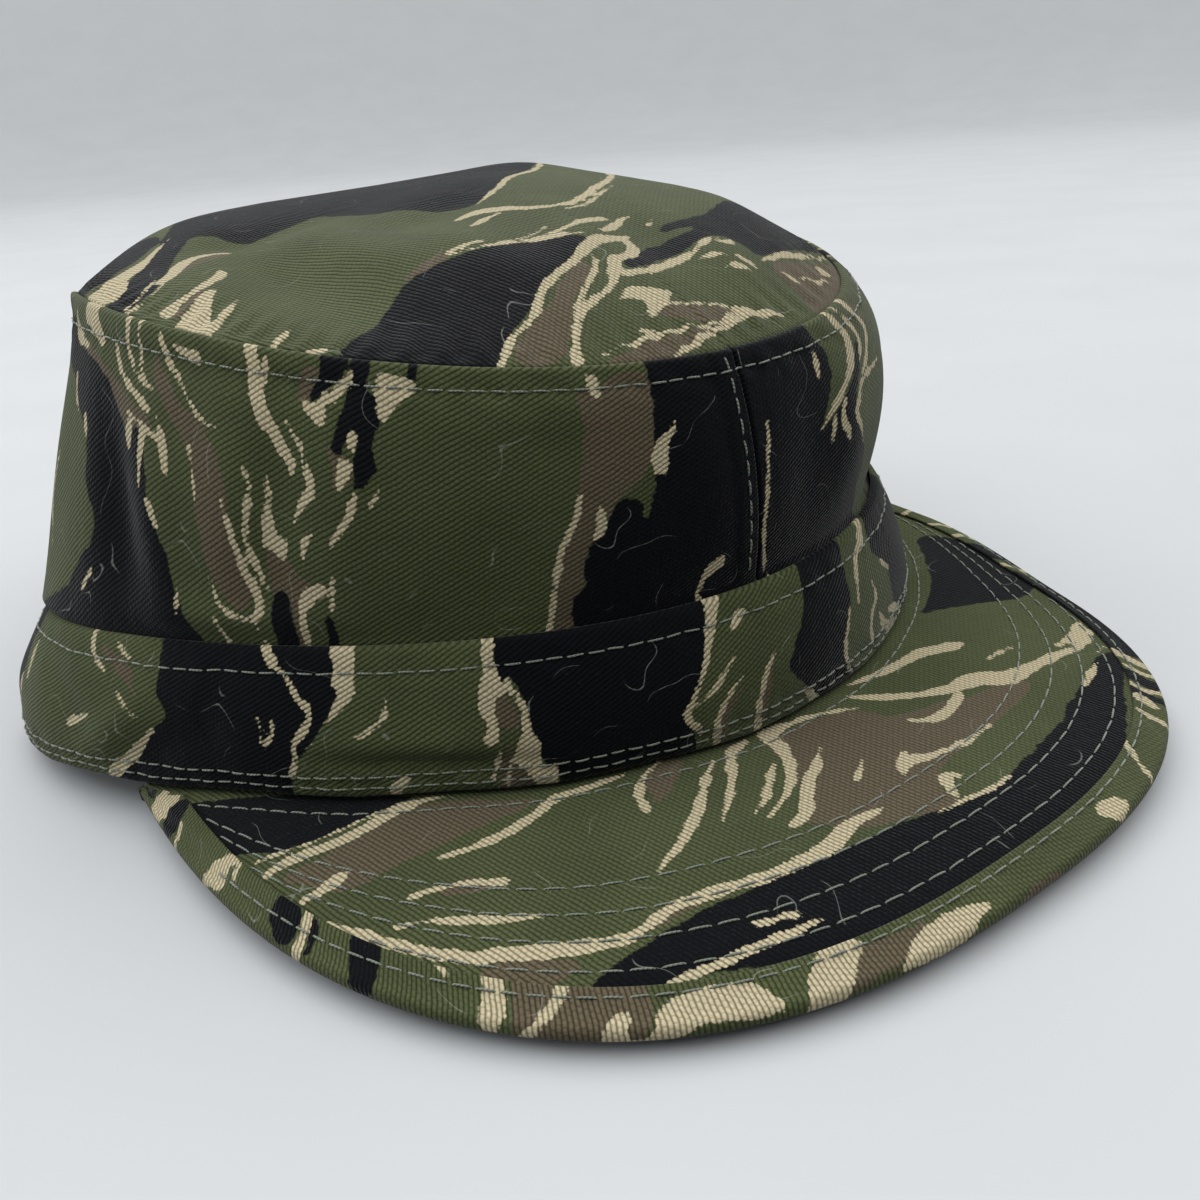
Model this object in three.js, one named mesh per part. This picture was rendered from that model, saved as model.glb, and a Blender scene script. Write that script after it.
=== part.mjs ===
// Field cap sewn from cotton twill, with a board-stiffened visor.
// Millimetres, +Z up, visor towards -Y, the wearer's right towards -X, standing on z = 0.
// Every piece is a thin sheet or a thread that follows the head oval, so all of them are
// described by a turn angle (0 at the front, positive towards +X), a level and an inset.
import * as THREE from "three";

// Cloth, air and thread
const PLY = 0.7;            // one ply of twill
const GAP = 0.3;            // air between two pieces
const LAYER = PLY + GAP;    // from one ply to the next
const FOLDED = PLY + LAYER; // thickness of a folded edge
const THREAD = 0.5;         // sewing thread, corner to corner
const LIFT = 0.15;          // air between a thread and its cloth

// Band: a folded strip round the head, hemmed at the bottom
const HEM_HALF_WIDTH = 98;
const HEM_HALF_LENGTH = 96;
const HEM_POWER = 1.92;     // 2 is an ellipse
const HEM_RISE = 7.8;       // front of the hem above the table
const BAND_HEIGHT = 25;
const BAND_TAPER = 5;       // each semi-axis, hem to top edge
const BAND_BULGE = 1.6;

// Crown: two side panels and a domed top panel
const CROWN_STEP = 2 * LAYER; // crown cloth behind the face of the band
const SEAM_HALF_WIDTH = 74;
const SEAM_HALF_LENGTH = 88.5;
const SEAM_POWER = 2.06;
const SEAM_BACK = 3.6;      // top oval sits this far back
const SEAM_HEIGHT = 75;
const SEAM_SADDLE = 4;      // sides of the top seam above its front and back
const CROWN_BULGE = 2.6;
const DOME_HEIGHT = 92;
const DOME_POWER = 3;       // 2 is a parabola, more is flatter on top
const PANEL_SPLIT = 0.002;  // half the slit between the side panels, radians

// Visor: board between two covers, edge bound with bias strip
const VISOR_LENGTH = 50;
const VISOR_HALF_WIDTH = 91.5;
const VISOR_POWER = 2.55;
const VISOR_TURN = THREE.MathUtils.degToRad(66); // where the visor ends on the hem
const VISOR_TUCK = 4.2;     // visor runs this far inside the hem
const VISOR_CLEAR = 0.4;    // air between the hem and the visor under it
const VISOR_CAMBER = 1.5;
const BOARD = 1.2;
const COVER_AT = BOARD / 2 + GAP;       // inner face of a cover from the mid surface
const BINDING = 0.6;
const BINDING_AT = COVER_AT + PLY + GAP;
const BINDING_WIDTH = 6;
const BINDING_WRAP = BINDING + GAP;     // covers stop this far inside the edge
const TIP_HEIGHT = BINDING_AT + BINDING; // mid surface of the visor tip above the table

// Inside
const SWEATBAND = 0.9;
const SWEATBAND_INSET = CROWN_STEP + LAYER;
const TAPE = 0.5;
const LABEL = 0.4;

// Steps of the facets
const TURN_STEPS = 60;
const VISOR_STEPS = 32;

const { lerp, smoothstep } = THREE.MathUtils;
const cap = new THREE.Group();

// ---------- shape of the cap ----------

function oval(turn, halfWidth, halfLength, power) {
  const s = Math.sin(turn);
  const c = Math.cos(turn);
  const across = Math.abs(s / halfWidth) ** power;
  const along = Math.abs(c / halfLength) ** power;
  const r = (across + along) ** (-1 / power);
  return [r * s, -r * c];
}

// Height of the hem: flat on the table round the back, rising to the visor.
function hemHeight(turn) {
  return HEM_RISE * smoothstep(Math.cos(turn), -0.75, 1);
}

function seamHeight(turn) {
  return SEAM_HEIGHT - 0.8 * Math.cos(turn) - SEAM_SADDLE * Math.cos(2 * turn);
}

const swell = (k) => 4 * k * (1 - k);

// A point of the band: level 0 at the hem, 1 at its top edge.
function bandPoint(turn, level, inset) {
  const off = BAND_BULGE * swell(level) - BAND_TAPER * level - inset;
  const [x, y] = oval(turn, HEM_HALF_WIDTH + off, HEM_HALF_LENGTH + off, HEM_POWER);
  return new THREE.Vector3(x, y, hemHeight(turn) + BAND_HEIGHT * level);
}

// A point of the crown side: level 0 at the top edge of the band, 1 at the top seam.
function crownPoint(turn, level, inset) {
  const off = CROWN_BULGE * swell(level) - inset;
  const base = BAND_TAPER + CROWN_STEP;
  const [x, y] = oval(
    turn,
    lerp(HEM_HALF_WIDTH - base, SEAM_HALF_WIDTH, level) + off,
    lerp(HEM_HALF_LENGTH - base, SEAM_HALF_LENGTH, level) + off,
    lerp(HEM_POWER, SEAM_POWER, level),
  );
  const z = lerp(hemHeight(turn) + BAND_HEIGHT, seamHeight(turn), level);
  return new THREE.Vector3(x, y + SEAM_BACK * level, z);
}

// A point of the top panel: reach 0 at its centre, 1 at the seam.
function domePoint(turn, reach, drop) {
  const rim = crownPoint(turn, 1, CROWN_STEP + 0.5 * PLY);
  const z = lerp(DOME_HEIGHT, rim.z, reach ** DOME_POWER) - drop;
  return new THREE.Vector3(rim.x * reach, lerp(SEAM_BACK, rim.y, reach), z);
}

// Outline of the visor: side runs from -1 to 1, inset is measured in from the bound edge.
function visorEdge(side, inset) {
  const end = bandPoint(VISOR_TURN, 0, 0).y;
  const depth = HEM_HALF_LENGTH + VISOR_LENGTH + end - inset;
  const turn = (side * Math.PI) / 2;
  const [x, y] = oval(turn, VISOR_HALF_WIDTH - inset, depth, VISOR_POWER);
  const z = lerp(TIP_HEIGHT, tuckHeight(VISOR_TURN) - GAP, side ** 2);
  return new THREE.Vector3(x, y + end, z);
}

// Height of the visor's mid surface along its tucked edge, just clear of the hem.
function tuckHeight(turn) {
  return hemHeight(turn) - VISOR_CLEAR - PLY - COVER_AT;
}

// A point of the visor: reach 0 at its tucked edge, 1 at its outline; rise from mid surface.
function visorPoint(side, reach, rise, inset = BINDING_WRAP) {
  const inner = bandPoint(side * VISOR_TURN, 0, VISOR_TUCK);
  inner.z = tuckHeight(side * VISOR_TURN);
  const p = inner.lerp(visorEdge(side, inset), reach);
  p.z += rise + VISOR_CAMBER * reach * swell(reach) * (1 - side ** 2);
  return p;
}

// Distance across the visor from its tucked edge to its outline.
function visorWidth(side) {
  return visorPoint(side, 0, 0).distanceTo(visorPoint(side, 1, 0));
}

// ---------- bodies ----------

// A closed body between two grids of points, rows running along the piece.
// A row starts on one rim and ends on the other; a closed piece joins its last row to its first.
function sheet(faceRows, backRows, closed) {
  const corners = [];
  const triangle = (a, b, c) => {
    if (a.distanceTo(b) > 1e-3 && b.distanceTo(c) > 1e-3 && c.distanceTo(a) > 1e-3) {
      corners.push(a, b, c);
    }
  };
  const quad = (a, b, c, d) => {
    triangle(a, b, c);
    triangle(a, c, d);
  };
  const rows = faceRows.length;
  const last = faceRows[0].length - 1;
  for (let j = 0; j < rows - (closed ? 0 : 1); j++) {
    const [f0, f1] = [faceRows[j], faceRows[(j + 1) % rows]];
    const [b0, b1] = [backRows[j], backRows[(j + 1) % rows]];
    for (let i = 0; i < last; i++) {
      quad(f0[i], f1[i], f1[i + 1], f0[i + 1]);
      quad(b0[i], b0[i + 1], b1[i + 1], b1[i]);
    }
    quad(f0[0], b0[0], b1[0], f1[0]);
    quad(f0[last], f1[last], b1[last], b0[last]);
  }
  if (!closed) {
    const [fe, be] = [faceRows[rows - 1], backRows[rows - 1]];
    for (let i = 0; i < last; i++) {
      quad(faceRows[0][i], faceRows[0][i + 1], backRows[0][i + 1], backRows[0][i]);
      quad(fe[i], be[i], be[i + 1], fe[i + 1]);
    }
  }
  return new THREE.BufferGeometry().setFromPoints(facingOut(corners));
}

// The same triangles, turned over if they enclose a negative volume.
function facingOut(corners) {
  let volume = 0;
  for (let i = 0; i < corners.length; i += 3) {
    const [a, b, c] = corners.slice(i, i + 3);
    volume += a.dot(new THREE.Vector3().crossVectors(b, c));
  }
  return volume > 0 ? corners : corners.reverse();
}

function steps(from, to, count, closed = false) {
  return Array.from({ length: count + (closed ? 0 : 1) }, (_, k) => lerp(from, to, k / count));
}

const AROUND = steps(-Math.PI, Math.PI, TURN_STEPS, true);

// A piece whose section is two chains of points, swept along a list of places.
function sweep(name, places, closed, face, back, material) {
  const rows = (chain) => places.map((place) => chain.map((point) => point(place)));
  const mesh = new THREE.Mesh(sheet(rows(face), rows(back), closed), material);
  mesh.name = name;
  cap.add(mesh);
}

// Chains on the band and on the crown side, from [level, inset] pairs.
const onBand = (pairs) => pairs.map(([level, inset]) => (turn) => bandPoint(turn, level, inset));
const onCrown = (pairs) => pairs.map(([level, inset]) => (turn) => crownPoint(turn, level, inset));
const strip = (levels, inset) => levels.map((level) => [level, inset]);

// A thread with a diamond section, its centre given by place, level and depth.
function thread(name, places, closed, point, level, depth, halfLevel) {
  const half = THREAD / 2;
  const face = [(p) => point(p, level - halfLevel, depth), (p) => point(p, level, depth - half)];
  const back = [(p) => point(p, level, depth + half), (p) => point(p, level + halfLevel, depth)];
  sweep(name, places, closed, face, back, sewingThread());
}

// ---------- materials ----------

function cloth(color, roughness) {
  return new THREE.MeshStandardMaterial({ color, roughness, metalness: 0 });
}
const oliveTwill = () => cloth(0x4a5238, 0.92);
const liningTwill = () => cloth(0x565c42, 0.94);
const cottonTape = () => cloth(0x6a6e52, 0.95);
const visorBoard = () => cloth(0x3a3a34, 0.8);
const sewingThread = () => cloth(0x5f6a52, 0.7);
const wovenLabel = () => cloth(0xd8d4c4, 0.9);

// ---------- crown ----------

function crownTop() {
  const reaches = [0, 0.22, 0.44, 0.64, 0.8, 0.92, 1];
  const behind = CROWN_STEP;
  const face = [
    ...reaches.map((reach) => (turn) => domePoint(turn, reach, 0)),
    ...onCrown([[0.97, behind], [0.86, behind]]),
  ];
  const back = [
    ...reaches.map((reach) => (turn) => domePoint(turn, reach * 0.992, PLY)),
    ...onCrown([[0.955, behind + PLY], [0.86, behind + PLY]]),
  ];
  sweep("crown_top", AROUND, true, face, back, oliveTwill());
}

// Outer ply down into the band, folded in at the top seam.
function crownSide(name, from, to) {
  const sunk = [0.1, 0.5, 0.95];
  const levels = [0.06, 0.25, 0.5, 0.75];
  const face = [
    ...onBand(strip(sunk, CROWN_STEP)),
    ...onCrown(strip([...levels, 0.95], 0)),
    ...onCrown([[1, 0.4], [1, FOLDED - 0.4], [0.96, FOLDED], [0.84, FOLDED]]),
  ];
  const back = [
    ...onBand(strip(sunk, CROWN_STEP + PLY)),
    ...onCrown(strip([...levels, 0.93], PLY)),
    ...onCrown([[0.975, PLY + 0.05], [0.975, LAYER - 0.05], [0.94, LAYER], [0.84, LAYER]]),
  ];
  sweep(name, steps(from, to, TURN_STEPS / 2), false, face, back, oliveTwill());
}

function crownSeamTape() {
  const levels = [0.79, 0.87, 0.95];
  const inset = CROWN_STEP + LAYER;
  const face = onCrown(strip(levels, inset));
  const back = onCrown(strip(levels, inset + TAPE));
  sweep("crown_seam_tape", AROUND, true, face, back, cottonTape());
}

// Tape over a front or back seam, inside the side panels.
function panelSeamTape(name, middle) {
  const levels = [0.03, 0.28, 0.54, 0.78];
  const half = 6 / SEAM_HALF_LENGTH;
  const face = onCrown(strip(levels, LAYER));
  const back = onCrown(strip(levels, LAYER + TAPE));
  sweep(name, steps(middle - half, middle + half, 2), false, face, back, cottonTape());
}

function crown() {
  crownTop();
  crownSide("crown_side_right", -Math.PI + PANEL_SPLIT, -PANEL_SPLIT);
  crownSide("crown_side_left", PANEL_SPLIT, Math.PI - PANEL_SPLIT);
  crownSeamTape();
  panelSeamTape("front_seam_tape", 0);
  panelSeamTape("rear_seam_tape", Math.PI);
}

// ---------- band and sweatband ----------

// One strip, its hem and its top edge both folded in.
function band() {
  const bend = 0.4;
  const face = onBand([
    [0.4, FOLDED], [0.06, FOLDED], [0, FOLDED - bend], [0, bend], [0.05, 0], [0.28, 0], [0.5, 0],
    [0.72, 0], [0.96, 0], [1, bend], [1, FOLDED - bend], [0.95, FOLDED], [0.62, FOLDED],
  ]);
  const back = onBand([
    [0.4, LAYER], [0.07, LAYER], [0.03, LAYER - 0.05], [0.03, PLY + 0.05], [0.07, PLY],
    [0.28, PLY], [0.5, PLY], [0.72, PLY], [0.94, PLY], [0.97, PLY + 0.05],
    [0.97, LAYER - 0.05], [0.93, LAYER], [0.62, LAYER],
  ]);
  sweep("band", AROUND, true, face, back, oliveTwill());
}

function sweatband() {
  const levels = [0.03, 0.32, 0.62, 0.92];
  const face = onBand(strip(levels, SWEATBAND_INSET));
  const back = onBand(strip(levels, SWEATBAND_INSET + SWEATBAND));
  sweep("sweatband", AROUND, true, face, back, liningTwill());
}

function sizeLabel() {
  const levels = [0.28, 0.55, 0.82];
  const inset = SWEATBAND_INSET + SWEATBAND + GAP;
  const half = 17 / HEM_HALF_LENGTH;
  const face = onBand(strip(levels, inset));
  const back = onBand(strip(levels, inset + LABEL));
  sweep("size_label", steps(Math.PI - half, Math.PI + half, 4), false, face, back, wovenLabel());
}

// ---------- visor ----------

const ALONG_VISOR = steps(-1, 1, VISOR_STEPS);

function visorPlate(name, low, high, material, from = 0) {
  const reaches = [from, 0.2, 0.4, 0.6, 0.8, 1];
  const layer = (rise) => reaches.map((reach) => (side) => visorPoint(side, reach, rise));
  sweep(name, ALONG_VISOR, false, layer(high), layer(low), material);
}

// Bias strip wrapped round the edge; it narrows where the visor runs under the hem.
function visorBinding() {
  const hold = (side) => {
    const width = visorWidth(side);
    return 1 - Math.min(BINDING_WIDTH, width - VISOR_TUCK - 0.6) / width;
  };
  const on = (share, rise, inset) => (side) =>
    visorPoint(side, share === 1 ? 1 : lerp(hold(side), 1, share), rise, inset);
  const out = BINDING_AT + BINDING;
  const face = [
    on(0, out), on(0.45, out), on(0.9, out), on(1, 0.62 * out, 0.25), on(1, 0, 0),
    on(1, -0.62 * out, 0.25), on(0.9, -out), on(0.45, -out), on(0, -out),
  ];
  const skin = BINDING_AT;
  const back = [
    on(0, skin), on(0.45, skin), on(0.9, skin), on(1, 0.85 * skin, 0.72), on(1, 0, BINDING),
    on(1, -0.85 * skin, 0.72), on(0.9, -skin), on(0.45, -skin), on(0, -skin),
  ];
  sweep("visor_binding", ALONG_VISOR, false, face, back, oliveTwill());
}

function visor() {
  visorPlate("visor_top_cover", COVER_AT, COVER_AT + PLY, oliveTwill());
  visorPlate("visor_board", -BOARD / 2, BOARD / 2, visorBoard(), 0.06);
  visorPlate("visor_bottom_cover", -COVER_AT - PLY, -COVER_AT, oliveTwill());
  visorBinding();
}

// ---------- sewing threads ----------

const ABOVE = -(THREAD / 2 + LIFT); // a thread's centre, as an inset from an outer face

function ringThread(name, point, level, height, depth = ABOVE) {
  thread(name, AROUND, true, point, level, depth, THREAD / 2 / height);
}

// A row up a panel seam, a little to the wearer's right of it.
function panelSeamThread(name, turn) {
  const half = THREAD / 2 / SEAM_HALF_LENGTH;
  const point = (level, across, depth) => crownPoint(across, level, depth);
  thread(name, [0.06, 0.25, 0.5, 0.75, 0.88], false, point, turn, ABOVE, half);
}

// A row across the visor; fromHem gives its distance from the hem where so much is showing.
function visorThread(name, fromHem, top = COVER_AT + PLY) {
  const showing = (side) => visorWidth(side) - VISOR_TUCK;
  const onBinding = top > BINDING_AT;
  const clear = (side) => {
    const beyond = showing(side) - fromHem(showing(side));
    return onBinding ? Math.abs(side) < 0.92 : beyond > BINDING_WIDTH + 1;
  };
  const rise = top + THREAD / 2 + LIFT;
  const point = (side, shift, lift) => {
    const reach = (VISOR_TUCK + fromHem(showing(side)) + shift) / visorWidth(side);
    return visorPoint(side, reach, rise - lift);
  };
  thread(name, ALONG_VISOR.filter(clear), false, point, 0, 0, THREAD / 2);
}

function threads() {
  const crownHeight = SEAM_HEIGHT - BAND_HEIGHT;
  ringThread("crown_seam_thread", crownPoint, 0.92, crownHeight);
  ringThread("band_top_thread", bandPoint, 0.85, BAND_HEIGHT);
  ringThread("hem_thread_upper", bandPoint, 0.17, BAND_HEIGHT);
  ringThread("hem_thread_lower", bandPoint, 0.09, BAND_HEIGHT);
  const insideFace = SWEATBAND_INSET + SWEATBAND - ABOVE;
  ringThread("sweatband_thread", bandPoint, 0.12, BAND_HEIGHT, insideFace);
  const beside = 2.5 / SEAM_HALF_LENGTH;
  panelSeamThread("front_seam_thread", -beside);
  panelSeamThread("rear_seam_thread", -Math.PI + beside);
  visorThread("brow_thread", () => 3);
  [0.5, 0.62, 0.73, 0.84].forEach((share, k) => {
    visorThread("visor_thread_" + (k + 1), (showing) => share * showing);
  });
  visorThread("binding_thread", (showing) => 0.945 * showing, BINDING_AT + BINDING);
}

crown();
band();
sweatband();
sizeLabel();
visor();
threads();

// The origin is the middle of the footprint.
cap.position.y = -new THREE.Box3().setFromObject(cap).getCenter(new THREE.Vector3()).y;

export default cap;
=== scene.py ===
# Field cap in tiger-stripe twill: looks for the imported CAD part.
# Lengths below are millimetres in the cap's own frame: +Z up, visor towards -Y, the wearer's
# right towards -X, origin on the table under the middle of the head oval. Turns are measured
# round the head from the front, positive towards +X.
import math

import bpy
import numpy as np
from mathutils import Matrix, Vector


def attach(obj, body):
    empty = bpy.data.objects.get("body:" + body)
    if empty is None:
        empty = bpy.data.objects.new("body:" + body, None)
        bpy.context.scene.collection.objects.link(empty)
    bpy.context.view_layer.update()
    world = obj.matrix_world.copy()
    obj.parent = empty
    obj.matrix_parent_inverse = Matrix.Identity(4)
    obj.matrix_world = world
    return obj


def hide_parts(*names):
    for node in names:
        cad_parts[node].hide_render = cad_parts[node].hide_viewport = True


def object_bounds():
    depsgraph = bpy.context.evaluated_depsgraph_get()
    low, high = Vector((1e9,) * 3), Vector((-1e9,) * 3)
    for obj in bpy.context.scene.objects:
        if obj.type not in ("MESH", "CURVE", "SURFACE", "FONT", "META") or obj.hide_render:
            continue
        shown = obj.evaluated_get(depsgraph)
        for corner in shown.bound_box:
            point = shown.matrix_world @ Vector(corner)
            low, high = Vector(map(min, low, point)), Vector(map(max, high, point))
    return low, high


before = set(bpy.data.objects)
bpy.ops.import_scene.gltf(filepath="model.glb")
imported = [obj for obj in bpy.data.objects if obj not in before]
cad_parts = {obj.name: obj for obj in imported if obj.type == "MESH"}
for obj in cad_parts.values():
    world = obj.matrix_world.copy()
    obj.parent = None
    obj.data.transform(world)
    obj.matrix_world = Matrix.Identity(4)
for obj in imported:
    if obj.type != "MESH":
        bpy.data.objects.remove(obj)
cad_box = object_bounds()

MM = 0.001

# ---------- sizes ----------
PLY = 0.7                    # one thickness of cloth
GAP = 0.3                    # air between two pieces
LAYER = PLY + GAP
HEM_X, HEM_Y, HEM_POWER = 98, 96, 1.92
BAND_HEIGHT, BAND_TAPER, BAND_BULGE = 24.9, 5, 1.6
CROWN_STEP = 2 * LAYER
RIM_X, RIM_Y, RIM_POWER, RIM_BACK = 74, 88.5, 2.06, 3.6
DOME_HEIGHT, DOME_POWER = 91.4, 3.0
VISOR_LENGTH, VISOR_HALF, VISOR_POWER, VISOR_END = 50, 91.5, 2.55, math.radians(66)
VISOR_TUCK = 4.2             # how far it runs in under the hem
EDGE = 0.9                   # covers and board stop this far inside the outline
BOARD = 1.2
COVER_AT = BOARD / 2 + GAP
BINDING, BINDING_WIDTH = 0.6, 4.7
BINDING_AT = COVER_AT + PLY + 0.1
TABLE = -0.8                 # the soft hem sinks to this level
FOLD_DEPTH = 1.3             # folds in the soft cloth
RIB = 0.74                   # twill, rib to rib
CROWN_U, CROWN_V = 1.6, 45   # flat crown cloth: mm a degree, mm from band to seam
BAND_U, BAND_V = 1.68, 25

# The frame gives where the cap's own origin is.
ORIGIN_Y = HEM_Y + VISOR_LENGTH + cad_box[0][1] / MM


# ---------- shape ----------
def smooth(x, low, high):
    """0 below low, 1 above high, a soft step between."""
    k = np.clip((x - low) / (high - low), 0, 1)
    return k * k * (3 - 2 * k)


def near(t, degrees, wide):
    """A hump round the head at a turn given in degrees: 1 in the middle, 0 far away."""
    off = (np.degrees(t) - degrees + 180) % 360 - 180
    return np.exp(-(off / wide) ** 2)


def swell(k):
    """0 at both ends and 1 half-way."""
    return 4 * k * (1 - k)


def lerp(a, b, k):
    return a + (b - a) * k


def oval(t, a, b, power, spread=0.0):
    """Plan outline round the head, between an ellipse (power 2) and a rectangle."""
    s, c = np.sin(t), np.cos(t)
    r = (np.abs(s / a) ** power + np.abs(c / b) ** power) ** (-1 / power) + spread
    return r * s, -r * c


def hem_height(t):
    """The hem lifts towards the visor and sinks to the table at the rear right."""
    level = 7.8 * smooth(np.cos(t), -0.75, 1)
    sag = 0.4 - 0.3 * np.sin(t) + 1.7 * np.cos(t) - 1.3 * np.cos(2 * t)
    return np.maximum(level + sag - 3.4 * near(t, -108, 36), TABLE)


def band_tall(t):
    tall = BAND_HEIGHT + 1.1 * np.sin(t) - 1.7 * np.cos(t)
    return tall + near(t, -108, 30) - 2.6 * near(t, 68, 28)


def hem_spread(t):
    """How far the soft hem stands outside its oval."""
    soft = -2.9 * np.sin(t) + 1.4 * np.cos(2 * t) + 0.5 * np.sin(2 * t) + 0.4 * np.cos(3 * t)
    return soft - 7.6 * near(t, -125, 26) + 2.6 * near(t, -84, 18)


def rim_spread(t):
    """How far the crown's top seam stands outside its oval."""
    soft = -1.5 * np.sin(t) + 2.2 * np.cos(2 * t) - 1.7 * np.sin(2 * t)
    return soft - 1.2 * np.cos(3 * t) + 1.1 * np.sin(3 * t) + 1.6 * near(t, -126, 20)


def rim_height(t):
    return 72.9 - 0.8 * np.sin(t) + 1.7 * np.cos(t) - 6 * np.cos(2 * t)


def segment_distance(x, y, a, b):
    """Distance to a segment, and how far along it the nearest point lies."""
    dx, dy = b[0] - a[0], b[1] - a[1]
    k = np.clip(((x - a[0]) * dx + (y - a[1]) * dy) / (dx * dx + dy * dy), 0, 1)
    return np.hypot(x - a[0] - k * dx, y - a[1] - k * dy), k


def folds(x, y, rows, depth=FOLD_DEPTH):
    """Soft ridges and valleys: each row is (start, end, width, height)."""
    total = np.zeros(np.broadcast(x, y).shape)
    for a, b, wide, high in rows:
        d, k = segment_distance(x, y, a, b)
        total += high * np.exp(-(d / wide) ** 2) * (0.35 + 0.65 * np.sin(np.pi * k))
    return total * depth


CROWN_FOLDS = [
    ((-109, 4), (-113, 32), 5.5, -1.7), ((-98, 2), (-101, 30), 5, 1.0),
    ((-80, 40), (-88, 5), 6, 0.8), ((-72, 38), (-79, 8), 5, -0.8),
    ((-60, 38), (-66, 10), 6, 0.5), ((-120, 4), (-68, 3), 4, 1.1),
    ((-50, 5), (-35, 30), 9, -0.6), ((-8, 5), (-10, 40), 5, 0.4),
    ((12, 5), (14, 38), 6, -0.5), ((24, 8), (28, 30), 6, 0.7),
    ((-120, 40), (-60, 40.5), 2.5, -0.5), ((-50, 37), (-20, 38), 4, 0.4),
    ((-150, 5), (-140, 35), 8, 1.3), ((-175, 8), (-165, 38), 8, -1.2),
    ((-200, 3), (-210, 34), 8, 1.0), ((-235, 6), (-228, 36), 9, -1.2),
    ((-262, 5), (-268, 34), 8, 0.9), ((55, 4), (60, 36), 8, -0.9),
    ((88, 5), (80, 35), 8, 1.0), ((120, 6), (128, 36), 9, -1.1),
    ((160, 5), (150, 34), 8, 1.1), ((195, 4), (205, 36), 9, -1.1), ((250, 6), (240, 36), 8, 1.0),
]
BAND_FOLDS = [
    ((-76, 6.5), (-44, 4.5), 1.8, -0.8), ((-76, 10), (-45, 8.5), 3, 0.5),
    ((-124, 4), (-108, 16), 3.5, 0.9), ((-118, 0), (-98, 11), 3.5, -0.8),
    ((-110, 24), (-90, 14), 4, 0.5), ((-98, 2), (-94, 20), 4, -0.5),
    ((-20, 3), (-14, 18), 5, 0.3), ((-140, 20), (-122, 8), 4, -0.8),
    ((-165, 4), (-150, 18), 5, 0.7), ((-200, 18), (-185, 5), 5, -0.7),
    ((-240, 5), (-225, 18), 5, 0.6), ((40, 18), (60, 6), 5, 0.5), ((90, 5), (105, 18), 5, -0.6),
    ((140, 18), (155, 5), 5, 0.6), ((190, 5), (205, 18), 5, -0.6), ((245, 17), (260, 6), 5, 0.5),
]
DOME_FOLDS = [
    ((-45, -58), (-50, -10), 8, -1.8), ((-62, -35), (-45, 20), 7, 1.5),
    ((-20, -65), (-25, -35), 8, 1.3), ((5, -70), (10, -40), 7, -1.0),
    ((30, -65), (45, -25), 9, 1.2), ((-30, 40), (20, 60), 12, -1.2),
    ((-34, -52), (-36, -14), 6, 0.9), ((-28, -30), (-4, -18), 8, -1.2),
    ((20, 0), (35, 30), 12, 1.0), ((-8, -20), (12, 10), 14, 0.8),
    ((50, 10), (58, 40), 8, -0.8), ((-12, -60), (2, -46), 5, 0.8),
    ((14, -74), (22, -58), 5, 0.7), ((-58, -8), (-30, -4), 7, -1.0),
]
VISOR_FOLDS = [((-70, -80), (-45, -112), 7, -0.4), ((30, -110), (60, -90), 9, 0.4)]


def band(t, k, out=0.0):
    """Outside of the band: k 0 at the hem, 1 at its top edge; out moves it outward."""
    slack = near(t, -105, 34)
    off = -BAND_TAPER * k + BAND_BULGE * swell(k) - 4.4 * k * near(t, 60, 28) + out
    off = off + slack * (2.8 * (1 - k) - 3.2 * k + 0.8 * swell(k) * (1.2 - 0.4 * k))
    u, v = np.degrees(t) * BAND_U, k * BAND_V
    off = off + folds(u, v, BAND_FOLDS) * smooth(k, 0, 0.2) * smooth(1 - k, 0, 0.15)
    off = off + pucker(u, v, BAND_V - 3.7, 2.4, 0.10) + pucker(u, v, 2.6, 2.4, 0.14)
    x, y = oval(t, HEM_X + off, HEM_Y + off, HEM_POWER, hem_spread(t))
    z = hem_height(t) + band_tall(t) * k + 0.25 * np.sin(u / 5.3) * smooth(1 - k, 0.6, 1)
    return np.stack([x, y, z], -1)


def pucker(u, v, row, reach, high):
    """Small gathers beside a row of stitching, which lies in a groove."""
    off = (v - row) / reach
    gather = np.sin(u * 1.15 + 1.7 * np.sin(u / 6.1)) * 0.6 + np.sin(u / 1.7 + v)
    return high * np.exp(-off ** 2) * gather - 1.2 * high * np.exp(-(off * 3) ** 2)


def crown(t, k, out=0.0):
    """Outside of the crown's side: k 0 at the band's top edge, 1 at the top seam."""
    bulge = 2.6 + 4.8 * near(t, 55, 35) * (0.4 + 1.2 * k) - 8.2 * near(t, -118, 34)
    off = bulge * swell(k) + out
    off = off - (1 - k) * (6.2 * near(t, 58, 28) - 0.6 * near(t, -105, 34))
    u, v = np.degrees(t) * CROWN_U, k * CROWN_V
    off = off + folds(u, v, CROWN_FOLDS) * smooth(k, -0.05, 0.12) * smooth(1 - k, 0, 0.12)
    off = off + pucker(u, v, 41.4, 2.6, 0.13) - seam_groove(u)
    x, y = oval(
        t, lerp(HEM_X - 7, RIM_X, k) + off, lerp(HEM_Y - 7, RIM_Y, k) + off,
        lerp(HEM_POWER, RIM_POWER, k), lerp(hem_spread(t), rim_spread(t), k))
    z = lerp(hem_height(t) + band_tall(t), rim_height(t), k)
    return np.stack([x, y + RIM_BACK * k, z], -1)


def seam_groove(u):
    """The front and back seams: a groove, and seam allowance on the wearer's right of it."""
    total = 0
    for middle in (0, -180 * CROWN_U, 180 * CROWN_U):
        d = u - middle
        total = total + 0.55 * np.exp(-(d / 0.3) ** 2)
        total = total - 0.35 * smooth(-d, 0, 0.8) * smooth(d + 5, 0, 1.2)
    return total


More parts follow.
